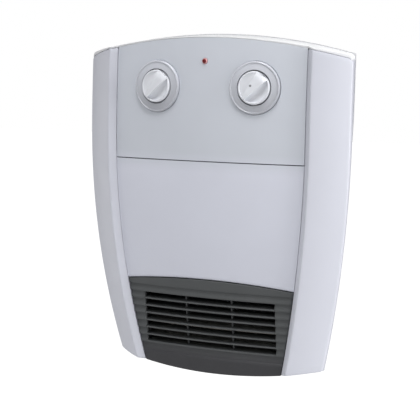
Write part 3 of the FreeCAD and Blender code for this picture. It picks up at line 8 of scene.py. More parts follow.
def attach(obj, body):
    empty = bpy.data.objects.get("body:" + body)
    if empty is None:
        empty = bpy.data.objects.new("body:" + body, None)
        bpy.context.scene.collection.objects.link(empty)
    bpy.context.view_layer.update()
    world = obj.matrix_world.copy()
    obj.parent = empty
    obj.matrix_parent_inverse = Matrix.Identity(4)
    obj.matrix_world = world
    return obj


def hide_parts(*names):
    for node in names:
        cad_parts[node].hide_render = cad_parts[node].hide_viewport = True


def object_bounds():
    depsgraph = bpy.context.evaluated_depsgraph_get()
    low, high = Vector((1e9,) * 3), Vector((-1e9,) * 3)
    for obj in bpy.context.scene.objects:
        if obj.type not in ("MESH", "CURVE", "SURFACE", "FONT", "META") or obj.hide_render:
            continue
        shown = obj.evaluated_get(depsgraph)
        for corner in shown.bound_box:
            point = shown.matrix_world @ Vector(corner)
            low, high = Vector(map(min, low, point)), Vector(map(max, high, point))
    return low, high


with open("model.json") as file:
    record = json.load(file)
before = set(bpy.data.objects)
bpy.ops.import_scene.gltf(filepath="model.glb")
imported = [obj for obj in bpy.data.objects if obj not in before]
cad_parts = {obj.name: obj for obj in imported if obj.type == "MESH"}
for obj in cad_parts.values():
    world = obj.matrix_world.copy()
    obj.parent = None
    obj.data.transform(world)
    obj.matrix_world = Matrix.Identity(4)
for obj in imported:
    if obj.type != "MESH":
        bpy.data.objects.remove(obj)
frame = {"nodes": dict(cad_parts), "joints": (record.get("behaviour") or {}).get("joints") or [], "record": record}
cad_box = [list(corner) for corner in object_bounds()]

# Sizes in millimetres. x runs right, y back from the front's foremost line to the wall,
# z up from the lowest point.
DEPTH, HANG = 115.0, 230.0
HALF_WIDTH, FULL_HEIGHT, CENTRE_HALF = 140.0, 329.4, 101.5
BOW_RADIUS, RAKE_RADIUS, RAKE_START = 525.0, 1288.0, 272.0
TOP_RADIUS, BOTTOM_RADIUS = 551.0, 532.0
TAPER_START, CENTRE_TAPER, WING_TAPER = 240.0, 1048.0, 925.0
# side panels: inner bevel and swept face, rear edge, rounding of corners and ends, and how far
# the low edge leans down for each millimetre of depth
BEVEL_WIDTH, BEVEL_HEIGHT, SWEEP, FACE_RADIUS = 5.9, 6.2, 22.4, 150.0
WING_BACK, WING_BACK_RADIUS, WING_INSET = 34.3, 1138.0, 1.0
TOP_ROUND, BOTTOM_ROUND, END_ROUND, BOTTOM_LEAN = 3.6, 2.2, 1.6, 0.08
# centre panels: wall, gap at the seam and the grille, gap beside the side panels, radius of the
# lower panel's rolled edge, and the share of a full round that it rolls back
WALL, GAP, SIDE_GAP, EDGE_ROLL, EDGE_SHARE = 2.5, 0.8, 0.32, 2.2, 0.75
SEAM = 211.1
COVER_STEP, COVER_RISE, COVER_GAP = 0.8, 4.3, 0.15
GRILLE_TOP, GRILLE_TOP_RADIUS = 94.9, 712.0
KNOB_SPREAD, KNOB_HEIGHT = 51.8, 282.5
RING_RADIUS, RING_GAP, KNOB_RADIUS, KNOB_GAP = 25.2, 0.15, 15.8, 1.1
LAMP_HEIGHT, LAMP_RADIUS, LAMP_GAP = 307.1, 2.65, 0.1
# rounds in which a point's height and its place on the curved outlines settle, and the heights
# between which the side panels' points start
SETTLE_ROUNDS, GRILLE_ROUNDS = 6, 5
START_LOW, START_HIGH = 10, 310


# ---------------------------------------------------------------- the front's shape

def drop(radius, distance):
    """How far a circle has fallen away at a distance from its foremost point."""
    return radius - math.sqrt(radius * radius - distance * distance)


def front(x, z):
    """Depth of the bowed and raked front."""
    return drop(BOW_RADIUS, x) + drop(RAKE_RADIUS, z - RAKE_START)


def taper(z):
    """How far a height is below the level where the sides start to draw in."""
    return max(TAPER_START - z, 0.0)


def centre_edge(z):
    """Half the distance between the side panels."""
    return CENTRE_HALF - drop(CENTRE_TAPER, taper(z))


def top_edge(x):
    return FULL_HEIGHT - drop(TOP_RADIUS, x)


def bottom_edge(x):
    return drop(BOTTOM_RADIUS, x)


def grille_edge(x):
    return GRILLE_TOP - drop(GRILLE_TOP_RADIUS, x)


def place(x, y, z):
    """A point in the row frame, in metres."""
    return Vector((x, y - DEPTH, z - HANG)) / 1000


# ---------------------------------------------------------------- mesh helpers

def make_piece(name, points, faces, body, nodes, material, merge=0.0):
    """A mesh piece from points in the row frame."""
    mesh = bpy.data.meshes.new(name)
    mesh.from_pydata([tuple(point) for point in points], [], faces)
    shape = bmesh.new()
    shape.from_mesh(mesh)
    if merge:
        bmesh.ops.remove_doubles(shape, verts=shape.verts, dist=merge)
    bmesh.ops.recalc_face_normals(shape, faces=shape.faces)
    for face in shape.faces:
        face.smooth = True
    shape.to_mesh(mesh)
    shape.free()
    piece = bpy.data.objects.new(name, mesh)
    bpy.context.scene.collection.objects.link(piece)
    mesh.materials.append(material)
    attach(piece, body)
    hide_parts(*nodes)
    return piece


def grid_faces(rows, columns, start=0, closed=False):
    """Faces between rows of points, each row closed round or open."""
    faces = []
    across = columns if closed else columns - 1
    for row in range(rows - 1):
        for column in range(across):
            a = start + row * columns + column
            b = start + row * columns + (column + 1) % columns
            faces.append((a, b, b + columns, a + columns))
    return faces


def spread(start, end, count):
    """Evenly spaced values, ends included."""
    return [start + (end - start) * index / count for index in range(count + 1)]


def arc(centre, first, last, count):
    """Points from first to last round a centre, the shorter way, ends included."""
    start = math.atan2(first.y - centre.y, first.x - centre.x)
    turn = math.atan2(last.y - centre.y, last.x - centre.x) - start
    turn = (turn + math.pi) % (2 * math.pi) - math.pi
    radius = (first - centre).length
    angles = [start + turn * part for part in spread(0, 1, count)]
    return [centre + Vector((math.cos(angle), math.sin(angle))) * radius for angle in angles]


def rounded(corners, steps=5):
    """Polyline with its corners (x, y, radius) rounded, the same point count each time."""
    line = []
    for index, (x, y, radius) in enumerate(corners):
        here = Vector((x, y))
        if radius == 0 or index in (0, len(corners) - 1):
            line.append(here)
            continue
        before = Vector(corners[index - 1][:2]) - here
        after = Vector(corners[index + 1][:2]) - here
        before.normalize()
        after.normalize()
        half = math.acos(max(-1, min(1, before.dot(after)))) / 2
        back = radius / math.tan(half)
        middle = here + (before + after).normalized() * (radius / math.sin(half))
        line += arc(middle, here + before * back, here + after * back, steps)
    return line


def soften(piece, width):
    """Rounds a piece's sharp edges."""
    bevel = piece.modifiers.new("edges", "BEVEL")
    bevel.width = width / 1000
    bevel.segments = 3
    bevel.limit_method = "ANGLE"
    bevel.angle_limit = math.radians(40)
    bevel.harden_normals = True


def thicken(piece, thickness):
    """Gives a sheet its wall, behind its front surface."""
    solid = piece.modifiers.new("thickness", "SOLIDIFY")
    solid.thickness = thickness / 1000
    solid.offset = -1
    solid.use_even_offset = True


# ---------------------------------------------------------------- materials

def new_material(name):
    material = bpy.data.materials.new(name)
    material.use_nodes = True
    nodes = material.node_tree.nodes
    return material, material.node_tree, nodes["Principled BSDF"]


def noise(tree, scale, detail=3.0, roughness=0.5, stretch=None):
    """Noise in object space; its scale is in waves per metre."""
    coordinates = tree.nodes.new("ShaderNodeTexCoord")
    vector = coordinates.outputs["Object"]
    if stretch:
        mapping = tree.nodes.new("ShaderNodeMapping")
        mapping.inputs["Scale"].default_value = stretch
        tree.links.new(vector, mapping.inputs["Vector"])
        vector = mapping.outputs["Vector"]
    texture = tree.nodes.new("ShaderNodeTexNoise")
    texture.inputs["Scale"].default_value = scale
    texture.inputs["Detail"].default_value = detail
    texture.inputs["Roughness"].default_value = roughness
    tree.links.new(vector, texture.inputs["Vector"])
    return texture.outputs["Fac"]


def map_range(tree, value, low, high, start=0.3, end=0.7):
    """Maps a value from start-end, by default most of a noise's range, to low-high."""
    node = tree.nodes.new("ShaderNodeMapRange")
    node.inputs["From Min"].default_value = start
    node.inputs["From Max"].default_value = end
    node.inputs["To Min"].default_value = low
    node.inputs["To Max"].default_value = high
    tree.links.new(value, node.inputs["Value"])
    return node.outputs["Result"]


def mix(tree, factor, first, second):
    """Mix of two colours, each a tuple or another node's output."""
    first_socket, second_socket, result = 6, 7, 2
    node = tree.nodes.new("ShaderNodeMix")
    node.data_type = "RGBA"
    tree.links.new(factor, node.inputs["Factor"])
    for index, colour in ((first_socket, first), (second_socket, second)):
        if isinstance(colour, tuple):
            node.inputs[index].default_value = (*colour, 1)
        else:
            tree.links.new(colour, node.inputs[index])
    return node.outputs[result]


def shade(colour, amount):
    return tuple(channel * amount for channel in colour)


def moulded(name, colour, rough, grain=2600, grain_depth=0.02, tone=0.03, low_colour=None,
            split=("Object", -0.03, -0.01), specular=0.5):
    """Moulded plastic with a fine spark texture and faint cloudiness.

    With low_colour, the tone changes to it where the split's Z, of the place ("Object") or of
    the surface's direction ("Normal"), falls between its two numbers.
    """
    material, tree, shader = new_material(name)
    cloud = noise(tree, 18, 4, 0.55)
    body = mix(tree, map_range(tree, cloud, 0, 1), shade(colour, 1 - tone), colour)
    if low_colour:
        texture = tree.nodes.new("ShaderNodeTexCoord")
        axes = tree.nodes.new("ShaderNodeSeparateXYZ")
        tree.links.new(texture.outputs[split[0]], axes.inputs["Vector"])
        height = map_range(tree, axes.outputs["Z"], 0, 1, *split[1:])
        lower = mix(tree, map_range(tree, cloud, 0, 1), shade(low_colour, 1 - tone), low_colour)
        body = mix(tree, height, lower, body)
    tree.links.new(body, shader.inputs["Base Color"])
    tree.links.new(map_range(tree, noise(tree, 60, 5, 0.6), rough - 0.05, rough + 0.06),
                   shader.inputs["Roughness"])
    bump = tree.nodes.new("ShaderNodeBump")
    bump.inputs["Strength"].default_value = 0.35
    bump.inputs["Distance"].default_value = grain_depth / 1000
    tree.links.new(noise(tree, grain, 3, 0.6), bump.inputs["Height"])
    tree.links.new(bump.outputs["Normal"], shader.inputs["Normal"])
    shader.inputs["Specular IOR Level"].default_value = specular
    return material


def sheet_metal(name, colour, rough, scale=40, contrast=0.25, stretch=(1, 1, 12)):
    """Metal with a patchy, streaked finish."""
    material, tree, shader = new_material(name)
    streaks = noise(tree, scale, 6, 0.65, stretch)
    tree.links.new(mix(tree, map_range(tree, streaks, 0, 1), shade(colour, 1 - contrast), colour),
                   shader.inputs["Base Color"])
    tree.links.new(map_range(tree, streaks, rough + 0.12, rough), shader.inputs["Roughness"])
    shader.inputs["Metallic"].default_value = 1
    bump = tree.nodes.new("ShaderNodeBump")
    bump.inputs["Strength"].default_value = 0.3
    bump.inputs["Distance"].default_value = 0.00003
    tree.links.new(noise(tree, 900, 4, 0.6, stretch), bump.inputs["Height"])
    tree.links.new(bump.outputs["Normal"], shader.inputs["Normal"])
    return material


# moulded: colour, roughness, grain's waves per metre and its depth in millimetres, cloudiness
# sheet_metal: colour, roughness, streaks' waves per metre, their contrast and their stretch
MATERIALS = {
    # the side panels' plastic turns to the lighter low_colour towards the bottom: painted light from below
    "front_plastic": moulded("front_plastic", (0.502, 0.512, 0.569), 0.42,
                             low_colour=(0.594, 0.606, 0.673), split=("Object", -0.22, 0.09)),
    # the lower panel, below the seam, takes the lighter low_colour: painted light from below
    "panel_plastic": moulded("panel_plastic", (0.566, 0.592, 0.650), 0.42,
                             low_colour=(0.652, 0.668, 0.752)),
    # housing surfaces facing up take the lighter colour and all others the darker low_colour: painted light from
    # above
    "housing_plastic": moulded("housing_plastic", (0.91, 0.915, 0.93), 0.45,
                               low_colour=(0.62, 0.625, 0.645), split=("Normal", 0.25, 0.75)),
    "grille_plastic": moulded("grille_plastic", (0.085, 0.090, 0.093), 0.5, 2200, 0.03, 0.10,
                              (0.051, 0.051, 0.056), ("Object", -0.212, -0.204),
                              specular=0.32),
    # the dial rings turn to the darker low_colour towards the bottom: painted shadow of the knobs, with painted
    # light from above on their upper part
    "dial_plastic": moulded("dial_plastic", (0.567, 0.583, 0.637), 0.36, 2600, 0.01, 0.02,
                            (0.42, 0.432, 0.472), ("Object", 0.034, 0.071)),
    "knob_plastic": moulded("knob_plastic", (0.70, 0.715, 0.76), 0.30, 2600, 0.008, 0.02),
    "black_plastic": moulded("black_plastic", (0.03, 0.03, 0.032), 0.5, 1800, 0.03, 0.2),
    "ceramic": moulded("ceramic", (0.78, 0.73, 0.64), 0.6, 1200, 0.04, 0.08),
    "rubber": moulded("rubber", (0.025, 0.025, 0.026), 0.62, 2000, 0.02, 0.25),
    "zinc_sheet": sheet_metal("zinc_sheet", (0.62, 0.63, 0.65), 0.3, 60, 0.3, (1, 1, 1)),
    "steel": sheet_metal("steel", (0.55, 0.56, 0.58), 0.22, 200),
    "laminations": sheet_metal("laminations", (0.30, 0.31, 0.33), 0.4, 700, 0.45, (30, 1, 1)),
    "copper": sheet_metal("copper", (0.72, 0.34, 0.18), 0.3, 900, 0.3, (20, 1, 1)),
    "bronze": sheet_metal("bronze", (0.60, 0.45, 0.25), 0.4, 500, 0.3, (1, 1, 1)),
    "fan_sheet": sheet_metal("fan_sheet", (0.75, 0.76, 0.78), 0.3, 90, 0.15, (6, 1, 1)),
    "fins": sheet_metal("fins", (0.68, 0.69, 0.71), 0.35, 200, 0.3, (1, 1, 8)),
}


def lens_material():
    """Red lens, paler towards its rim."""
    material, tree, shader = new_material("lens_plastic")
    cloud = noise(tree, 500, 2)
    core = mix(tree, map_range(tree, cloud, 0, 1), (0.10, 0.003, 0.004), (0.15, 0.008, 0.010))
    coordinates = tree.nodes.new("ShaderNodeTexCoord")
    flat = tree.nodes.new("ShaderNodeVectorMath")
    flat.operation = "MULTIPLY"
    flat.inputs[1].default_value = (1, 0, 1)
    tree.links.new(coordinates.outputs["Object"], flat.inputs[0])
    away = tree.nodes.new("ShaderNodeVectorMath")
    away.operation = "DISTANCE"
    away.inputs[1].default_value = place(0, DEPTH, LAMP_HEIGHT)
    tree.links.new(flat.outputs["Vector"], away.inputs[0])
    rim = map_range(tree, away.outputs["Value"], 0, 1, 0.0018, 0.0024)
    tree.links.new(mix(tree, rim, core, (0.72, 0.36, 0.36)), shader.inputs["Base Color"])
    tree.links.new(map_range(tree, cloud, 0.32, 0.45), shader.inputs["Roughness"])
    shader.inputs["Specular IOR Level"].default_value = 0.25
    return material


def glass_material():
    """Clear, faintly warm glass of the lamp."""
    material, tree, shader = new_material("lamp_glass")
    tree.links.new(mix(tree, noise(tree, 300, 2), (0.95, 0.80, 0.70), (0.90, 0.70, 0.55)),
                   shader.inputs["Base Color"])
    shader.inputs["Transmission Weight"].default_value = 0.85
    shader.inputs["Roughness"].default_value = 0.08
    return material


MATERIALS["lens_plastic"] = lens_material()
MATERIALS["lamp_glass"] = glass_material()

for row in frame["record"]["subparts"]:
    node = frame["nodes"][row["node"]]
    node.data.materials.clear()
    node.data.materials.append(MATERIALS[row["material_slot"]])


# ---------------------------------------------------------------- side panels

def wing_section(z):
    """Rounded section of the right side panel at a height, from its inner rear edge outwards."""
    inner = centre_edge(z)
    outer = HALF_WIDTH - drop(WING_TAPER, taper(z))
    rear = WING_BACK + drop(WING_BACK_RADIUS, taper(z))
    face = front(inner, z)
    start = Vector((inner + BEVEL_WIDTH, face - BEVEL_HEIGHT))
    end = Vector((outer, face - BEVEL_HEIGHT + SWEEP))
    chord = end - start
    middle = (start + end) / 2
    side = Vector((-chord.y, chord.x)).normalized()
    centre = middle + side * math.sqrt(FACE_RADIUS ** 2 - (chord.length / 2) ** 2)
    corners = [(inner, rear, 0), (inner, face, 0.5), (start.x, start.y, 1.7)]
    corners += [(point.x, point.y, 0) for point in arc(centre, start, end, 10)[1:-1]]
    corners += [(end.x, end.y, 2.4), (outer - WING_INSET, rear, 0)]
    return rounded(corners)


def corner_drop(x, outer, radius):
    """How much a rounded outer corner takes off the height near the outer edge."""
    past = max(0.0, x - (outer - radius))
    # short of the whole radius, where the outline would be upright
    return drop(radius, min(past, radius * 0.95))


def wing_levels():
    """From low to high: share of the height, lift from that end (or None), section's inset."""
    ends = []
    for angle in (0, 22.5, 45, 67.5, 90):
        turn = math.radians(angle)
        ends.append((END_ROUND * (1 - math.cos(turn)), END_ROUND * (1 - math.sin(turn))))
    levels = [(0.0, lift, inset) for lift, inset in ends]
    levels += [(part, None, 0.0) for part in spread(0, 1, 70)[1:-1]]
    levels += [(1.0, -lift, inset) for lift, inset in reversed(ends)]
    return levels


def wing_point(index, share, lift, inset):
    """Point of the right side panel's section between the bottom and top outlines."""
    z = START_LOW + (START_HIGH - START_LOW) * share
    for _ in range(SETTLE_ROUNDS):
        line = wing_section(z)
        last = len(line) - 1
        along = (line[min(index + 1, last)] - line[max(index - 1, 0)]).normalized()
        normal = Vector((along.y, -along.x))
        spot = line[index] - normal * inset if 0 < index < last else line[index]
        outer = HALF_WIDTH - drop(WING_TAPER, taper(z))
        low = bottom_edge(spot.x) + corner_drop(spot.x, outer, BOTTOM_ROUND)
        low -= BOTTOM_LEAN * (spot.y - front(spot.x, z))
        high = top_edge(spot.x) - corner_drop(spot.x, outer, TOP_ROUND)
        if lift is None:
            z = low + END_ROUND + (high - low - 2 * END_ROUND) * share
        else:
            z = (high if share > 0.5 else low) + lift
    return spot.x, spot.y, z


def wing(side):
    """Side panel with rounded ends; side is -1 for the left one and 1 for the right one."""
    name = "left_side_panel" if side < 0 else "right_side_panel"
    levels = wing_levels()
    count = len(wing_section(SEAM))
    points = []
    for level in levels:
        for index in range(count):
            x, y, z = wing_point(index, *level)
            points.append(place(side * x, y, z))
    faces = grid_faces(len(levels), count, closed=True)
    faces.append(tuple(range(count)))
    faces.append(tuple(range(len(points) - count, len(points))))
    make_piece(name + "_shell", points, faces, "heater_body", [name],
               MATERIALS["front_plastic"])


wing(-1)
wing(1)


# ---------------------------------------------------------------- centre panels

def surface(x, z):
    """A point on the front's surface."""
    return place(x, front(x, z), z)


class Skin:
    """Patches of the front's surface, welded into one sheet."""

    def __init__(self):
        self.points, self.faces = [], []

    def add_grid(self, rows):
        start = len(self.points)
        for row in rows:
            self.points += [surface(x, z) for x, z in row]
        self.faces += grid_faces(len(rows), len(rows[0]), start)

    def add_hole(self, loop, centre, radius, rings):
        """Rings from a square loop of (x, z) in to a round hole."""
        rows = []
        for part in spread(0, 1, rings):
            row = []
            for x, z in loop + loop[:1]:
                arm = Vector((x - centre[0], z - centre[1]))
                edge = arm.normalized() * radius
                spot = arm.lerp(edge, part)
                row.append((centre[0] + spot.x, centre[1] + spot.y))
            rows.append(row)
        self.add_grid(rows)


def square_loop(xs, zs):
    """Places (x, z) round a rectangle, at the given values on its sides."""
    loop = [(x, zs[0]) for x in xs]
    loop += [(xs[-1], z) for z in zs[1:]]
    loop += [(x, zs[-1]) for x in reversed(xs[:-1])]
    loop += [(xs[0], z) for z in reversed(zs[1:-1])]
    return loop


def control_panel():
    """Upper centre panel: a grid with square patches round the two dials and the lens."""
    skin = Skin()
    low = SEAM + GAP / 2
    dial_half, lamp_half = 31.2, 6
    side = CENTRE_HALF - SIDE_GAP
    across = [spread(-side, -KNOB_SPREAD - dial_half, 6),
              spread(-KNOB_SPREAD - dial_half, -KNOB_SPREAD + dial_half, 20),
              spread(-KNOB_SPREAD + dial_half, -lamp_half, 5), spread(-lamp_half, lamp_half, 4)]
    left_dial, lamp_column, right_dial = 1, 3, 5
    across += [[-x for x in reversed(part)] for part in reversed(across[:3])]
    lamp = (LAMP_HEIGHT - lamp_half, LAMP_HEIGHT + lamp_half)
    dial = (KNOB_HEIGHT - dial_half, KNOB_HEIGHT + dial_half)
    heights = [spread(low, dial[0], 12), spread(dial[0], lamp[0], 14), spread(lamp[0], lamp[1], 4),
               spread(lamp[1], dial[1], 1)]
    dial_heights = heights[1] + heights[2][1:] + heights[3][1:]
    for number, xs in enumerate(across):
        bands = [heights[0], dial_heights]
        if number in (left_dial, right_dial):
            bands = [heights[0]]
            centre = (KNOB_SPREAD * (-1 if number == left_dial else 1), KNOB_HEIGHT)
            loop = square_loop(xs, dial_heights)
            skin.add_hole(loop, centre, RING_RADIUS + RING_GAP, 5)
        if number == lamp_column:
            bands = [heights[0], heights[1], heights[3]]
            loop = square_loop(xs, heights[2])
            skin.add_hole(loop, (0, LAMP_HEIGHT), LAMP_RADIUS + LAMP_GAP, 3)
        for zs in bands:
            skin.add_grid([[(x, z) for x in xs] for z in zs])
        skin.add_grid([[(x, dial[1] + (top_edge(x) - dial[1]) * part) for x in xs]
                       for part in spread(0, 1, 4)])
    # the sides draw in a little towards the seam
    points = []
    for point in skin.points:
        x, z = point.x * 1000, point.z * 1000 + HANG
        points.append(surface(x * (centre_edge(z) - SIDE_GAP) / side, z))
    piece = make_piece("control_panel_skin", points, skin.faces, "heater_body",
                       ["control_panel"], MATERIALS["panel_plastic"], 2e-5)
    face_outwards(piece)
    thicken(piece, WALL)
    soften(piece, 0.55)


def face_outwards(piece):
    """Turns a sheet's normals to the front."""
    shape = bmesh.new()
    shape.from_mesh(piece.data)
    if sum(face.normal.y * face.calc_area() for face in shape.faces) > 0:
        bmesh.ops.reverse_faces(shape, faces=shape.faces)
    shape.to_mesh(piece.data)
    shape.free()


def roll_back(point):
    """Moves a point near the lower panel's bottom edge back, so that the edge is rounded."""
    x, z = point.x * 1000, point.z * 1000 + HANG
    near = max(0.0, EDGE_ROLL - (z - grille_edge(x) - GAP))
    back = drop(EDGE_ROLL, min(near, EDGE_ROLL)) * EDGE_SHARE
    return point + Vector((0, back, 0)) / 1000


def lower_panel():
    """Plain centre panel between the seam and the grille."""
    high = SEAM - GAP / 2
    rows = []
    heights = [0, 0.001, 0.003, 0.006, 0.010, 0.015, 0.022] + spread(0.035, 1, 42)
    for part in heights:
        row = []
        for share in spread(-1, 1, 72):
            z = high
            for _ in range(SETTLE_ROUNDS):
                x = share * (centre_edge(z) - SIDE_GAP)
                low = grille_edge(x) + GAP
                z = low + (high - low) * part
            row.append((x, z))
        rows.append(row)
    skin = Skin()
    skin.add_grid(rows)
    points = [roll_back(point) for point in skin.points]
    piece = make_piece("lower_panel_skin", points, skin.faces, "heater_body",
                       ["lower_panel"], MATERIALS["panel_plastic"])
    face_outwards(piece)
    thicken(piece, WALL)
    soften(piece, 0.7)


control_panel()
lower_panel()


# ---------------------------------------------------------------- top cover

def face_depth(x):
    """Depth of the front's outline at its top edge."""
    x = abs(x)
    if x < CENTRE_HALF:
        return front(x, top_edge(x))
    line = wing_section(top_edge(x))
    for first, last in zip(line[1:], line[2:]):
        if first.x <= x <= last.x and last.x > first.x:
            return first.y + (last.y - first.y) * (x - first.x) / (last.x - first.x)
    return line[-2].y


def top_cover():
    """Thin band that rises from the face's top edge to the housing's rim, with rounded ends."""
    end = HALF_WIDTH - WING_INSET
    rings = []
    places = [end - 0.02 - TOP_ROUND * 1.2 * (1 - math.sin(math.radians(angle)))
              for angle in range(0, 91, 10)]
    for x in [-p for p in reversed(places)] + spread(-places[0], places[0], 90)[1:-1] + places:
        low = top_edge(x) - corner_drop(abs(x), end, TOP_ROUND) + COVER_GAP
        start = min(face_depth(x) + 0.35, WING_BACK - 3)
        height = COVER_STEP + (COVER_RISE - COVER_STEP) * start / WING_BACK
        corners = [(WING_BACK, low, 0), (start, low, 0.1), (start, low + height, 0.35),
                   (WING_BACK, low + COVER_RISE, 0.5), (WING_BACK, low + 0.5, 0)]
        rings.append([place(x, p.x, p.y) for p in rounded(corners, 4)])
    points = [point for ring in rings for point in ring]
    size = len(rings[0])
    faces = grid_faces(len(rings), size, closed=True)
    faces += [tuple(range(size)), tuple(range(len(points) - size, len(points)))]
    make_piece("top_cover_band", points, faces, "heater_body", ["top_cover"],
               MATERIALS["housing_plastic"])


top_cover()


# ---------------------------------------------------------------- outlet grille

FIRST_GROOVE, ROW_PITCH, ROW_COUNT, GROOVE_DEPTH = 16.7, 7.55, 9, 2.0
GRILLE_WALL, SLOT_HALF = 6.0, 71.0
SLAT_DEPTH, SLAT_RISE, SLAT_WALL, SLAT_OVERLAP = 12.0, 3.8, 1.6, 0.6
RIB_SPREAD, RIB_WIDTH, RIB_SETBACK, RIB_BACK = 24.8, 1.6, 6.0, 11.5
FLOOR_TOP, FLOOR_DEPTH, FLOOR_INSET = 8.7, 58.0, 0.05
# height at which the grille's lower width is taken
GRILLE_LOW = 5


def groove(index):
    """Height of a row's lower edge."""
    return FIRST_GROOVE + index * ROW_PITCH


def grille_profile():
    """Front profile (set-back, height) of the shingled face, from below the first lip upwards."""
    corners = [(0, groove(0) - 3, 0)]
    for index in range(ROW_COUNT + 1):
        low = groove(index)
        if index > 0:
            corners.append((GROOVE_DEPTH, low - 0.1, 0.25))
        corners.append((0, low, 0.45))
        if index < ROW_COUNT:
            corners.append((0, low + SLAT_WALL, 0.45))
    corners.append((0, groove(ROW_COUNT) + 2, 0))
    return [(point.x, point.y) for point in rounded(corners, 3)]


def grille_levels(profile):
    """(set-back, end, share) of each row of points: on the profile, or between it and an arc.

    The share is None on the profile, and there the second value is the height. Elsewhere that
    value is 0 for the bottom arc and 1 for the top one, and the share runs upwards.
    """
    levels = [(0.0, 0.0, part) for part in spread(0, 1, 5)[:-1]]
    levels += [(back, z, None) for back, z in profile]
    levels += [(0.0, 1.0, part) for part in spread(0, 1, 6)[1:]]
    return levels


def grille_place(share, z, part, profile, edge_low):
    """Place (x, height) on the grille's face; share is its part of the lower half width."""
    bottom, top = profile[0][1], profile[-1][1]
    height = z if part is None else (bottom if z == 0 else GRILLE_TOP)
    for _ in range(GRILLE_ROUNDS):
        full = centre_edge(height) - GAP
        x = share * edge_low
        if abs(share) > SLOT_HALF / edge_low:
            slide = (abs(x) - SLOT_HALF) / (edge_low - SLOT_HALF)
            x = math.copysign(SLOT_HALF + slide * (full - SLOT_HALF), share)
        if part is not None and z == 0:
            low = bottom_edge(x)
            height = low + (bottom - low) * part
        elif part is not None:
            height = top + (grille_edge(x) - top) * part
    return x, height


def grille_face(points, faces):
    """Shingled face with a window for the slats, as a closed shell."""
    low_window, high_window = groove(1) + 0.6, groove(ROW_COUNT - 1) - 0.2
    profile = grille_profile()
    edge_low = centre_edge(GRILLE_LOW) - GAP
    slot = SLOT_HALF / edge_low
    columns = spread(-1, -slot, 8) + spread(-slot, slot, 60)[1:-1] + spread(slot, 1, 8)
    levels = grille_levels(profile)
    back_points = []
    for back, z, part in levels:
        for share in columns:
            x, height = grille_place(share, z, part, profile, edge_low)
            points.append(place(x, front(x, height) + back, height))
            back_points.append(place(x, front(x, height) + GRILLE_WALL, height))
    rows, count, total = len(levels), len(columns), len(points)
    points.extend(back_points)

    def is_open(row, column):
        z = [levels[row][1], levels[row + 1][1]]
        inside = abs(columns[column] + columns[column + 1]) / 2 < slot
        flat = levels[row][2] is None and levels[row + 1][2] is None
        return flat and inside and min(z) >= low_window and max(z) <= high_window

    cells = {(row, column) for row in range(rows - 1) for column in range(count - 1)
             if not is_open(row, column)}
    for row, column in sorted(cells):
        a = row * count + column
        faces.append((a, a + 1, a + 1 + count, a + count))
        faces.append((a + total, a + count + total, a + 1 + count + total, a + 1 + total))
        for step, first, last in (((-1, 0), a, a + 1), ((1, 0), a + 1 + count, a + count),
                                  ((0, -1), a + count, a), ((0, 1), a + 1, a + 1 + count)):
            if (row + step[0], column + step[1]) not in cells:
                faces.append((first, first + total, last + total, last))


def slat(index):
    """Sections of one slat, from left to right."""
    low = groove(index)
    corners = [(SLAT_DEPTH, SLAT_RISE, 0), (0, 0, 0.6), (0, SLAT_WALL, 0.6),
               (SLAT_DEPTH, SLAT_RISE + SLAT_WALL * 0.7, 0)]
    section = rounded(corners, 5)
    reach = SLOT_HALF + SLAT_OVERLAP
    return [[place(x, front(x, low) + p.x, low + p.y) for p in section]
            for x in spread(-reach, reach, 60)]


def rib(side):
    """Sections of one upright rib behind the slats' front edges, from low to high."""
    half = RIB_WIDTH / 2
    corners = [(-half, RIB_BACK, 0.3), (-half, RIB_SETBACK, 0.5), (half, RIB_SETBACK, 0.5),
               (half, RIB_BACK, 0)]
    section = rounded(corners, 4)
    return [[place(side * RIB_SPREAD + p.x, front(RIB_SPREAD, z) + p.y, z) for p in section]
            for z in spread(groove(1), groove(ROW_COUNT - 1), 24)]


def duct_floor():
    """Sections of the outlet's floor, from left to right."""
    rings = []
    for share in spread(-1, 1, 48):
        x = share * (centre_edge(GRILLE_LOW) - GAP - FLOOR_INSET)
        low = bottom_edge(x) + FLOOR_INSET
        start = front(x, FLOOR_TOP) + 4
        corners = [(start, low, 0), (start, FLOOR_TOP, 0), (FLOOR_DEPTH, FLOOR_TOP, 0.5),
                   (FLOOR_DEPTH, low, 0)]
        rings.append([place(x, p.x, p.y) for p in rounded(corners, 3)])
    return rings


def outlet_grille():
    """Shingled face, slats, ribs and the outlet's floor, as closed shells of one piece."""
    points, faces = [], []
    grille_face(points, faces)
    shells = [slat(index) for index in range(1, ROW_COUNT)] + [rib(-1), rib(1), duct_floor()]
    for rings in shells:
        start, size = len(points), len(rings[0])
        for ring in rings:
            points.extend(ring)
        faces.extend(grid_faces(len(rings), size, start, closed=True))
        faces.append(tuple(range(start, start + size)))
        faces.append(tuple(range(len(points) - size, len(points))))
    make_piece("outlet_grille_slatted", points, faces, "heater_body", ["outlet_grille"],
               MATERIALS["grille_plastic"])


outlet_grille()


# ---------------------------------------------------------------- controls

def dial_axes(joint_name):
    """Places (right, outwards, up) millimetres about a knob's axis in the row frame."""
    joint = next(joint for joint in frame["joints"] if joint["name"] == joint_name)
    back = Vector(joint["axis"]).normalized()
    right = back.cross(Vector((0, 0, 1))).normalized()
    up = right.cross(back)
    origin = Vector(joint["pos_m"])
    return lambda x, out, z: origin + (right * x - back * out + up * z) / 1000


def lathe(section, segments, put_point):
    """Points and faces of a closed section (radius, outwards) turned round the dial's axis."""
    points = []
    for index in range(segments):
        turn = 2 * math.pi * index / segments
        points += [put_point(r * math.sin(turn), out, r * math.cos(turn)) for r, out in section]
    count = len(section)
    faces = []
    for index in range(segments):
        a, b = index * count, (index + 1) % segments * count
        faces += [(a + k, a + (k + 1) % count, b + (k + 1) % count, b + k)
                  for k in range(count)]
    return points, faces


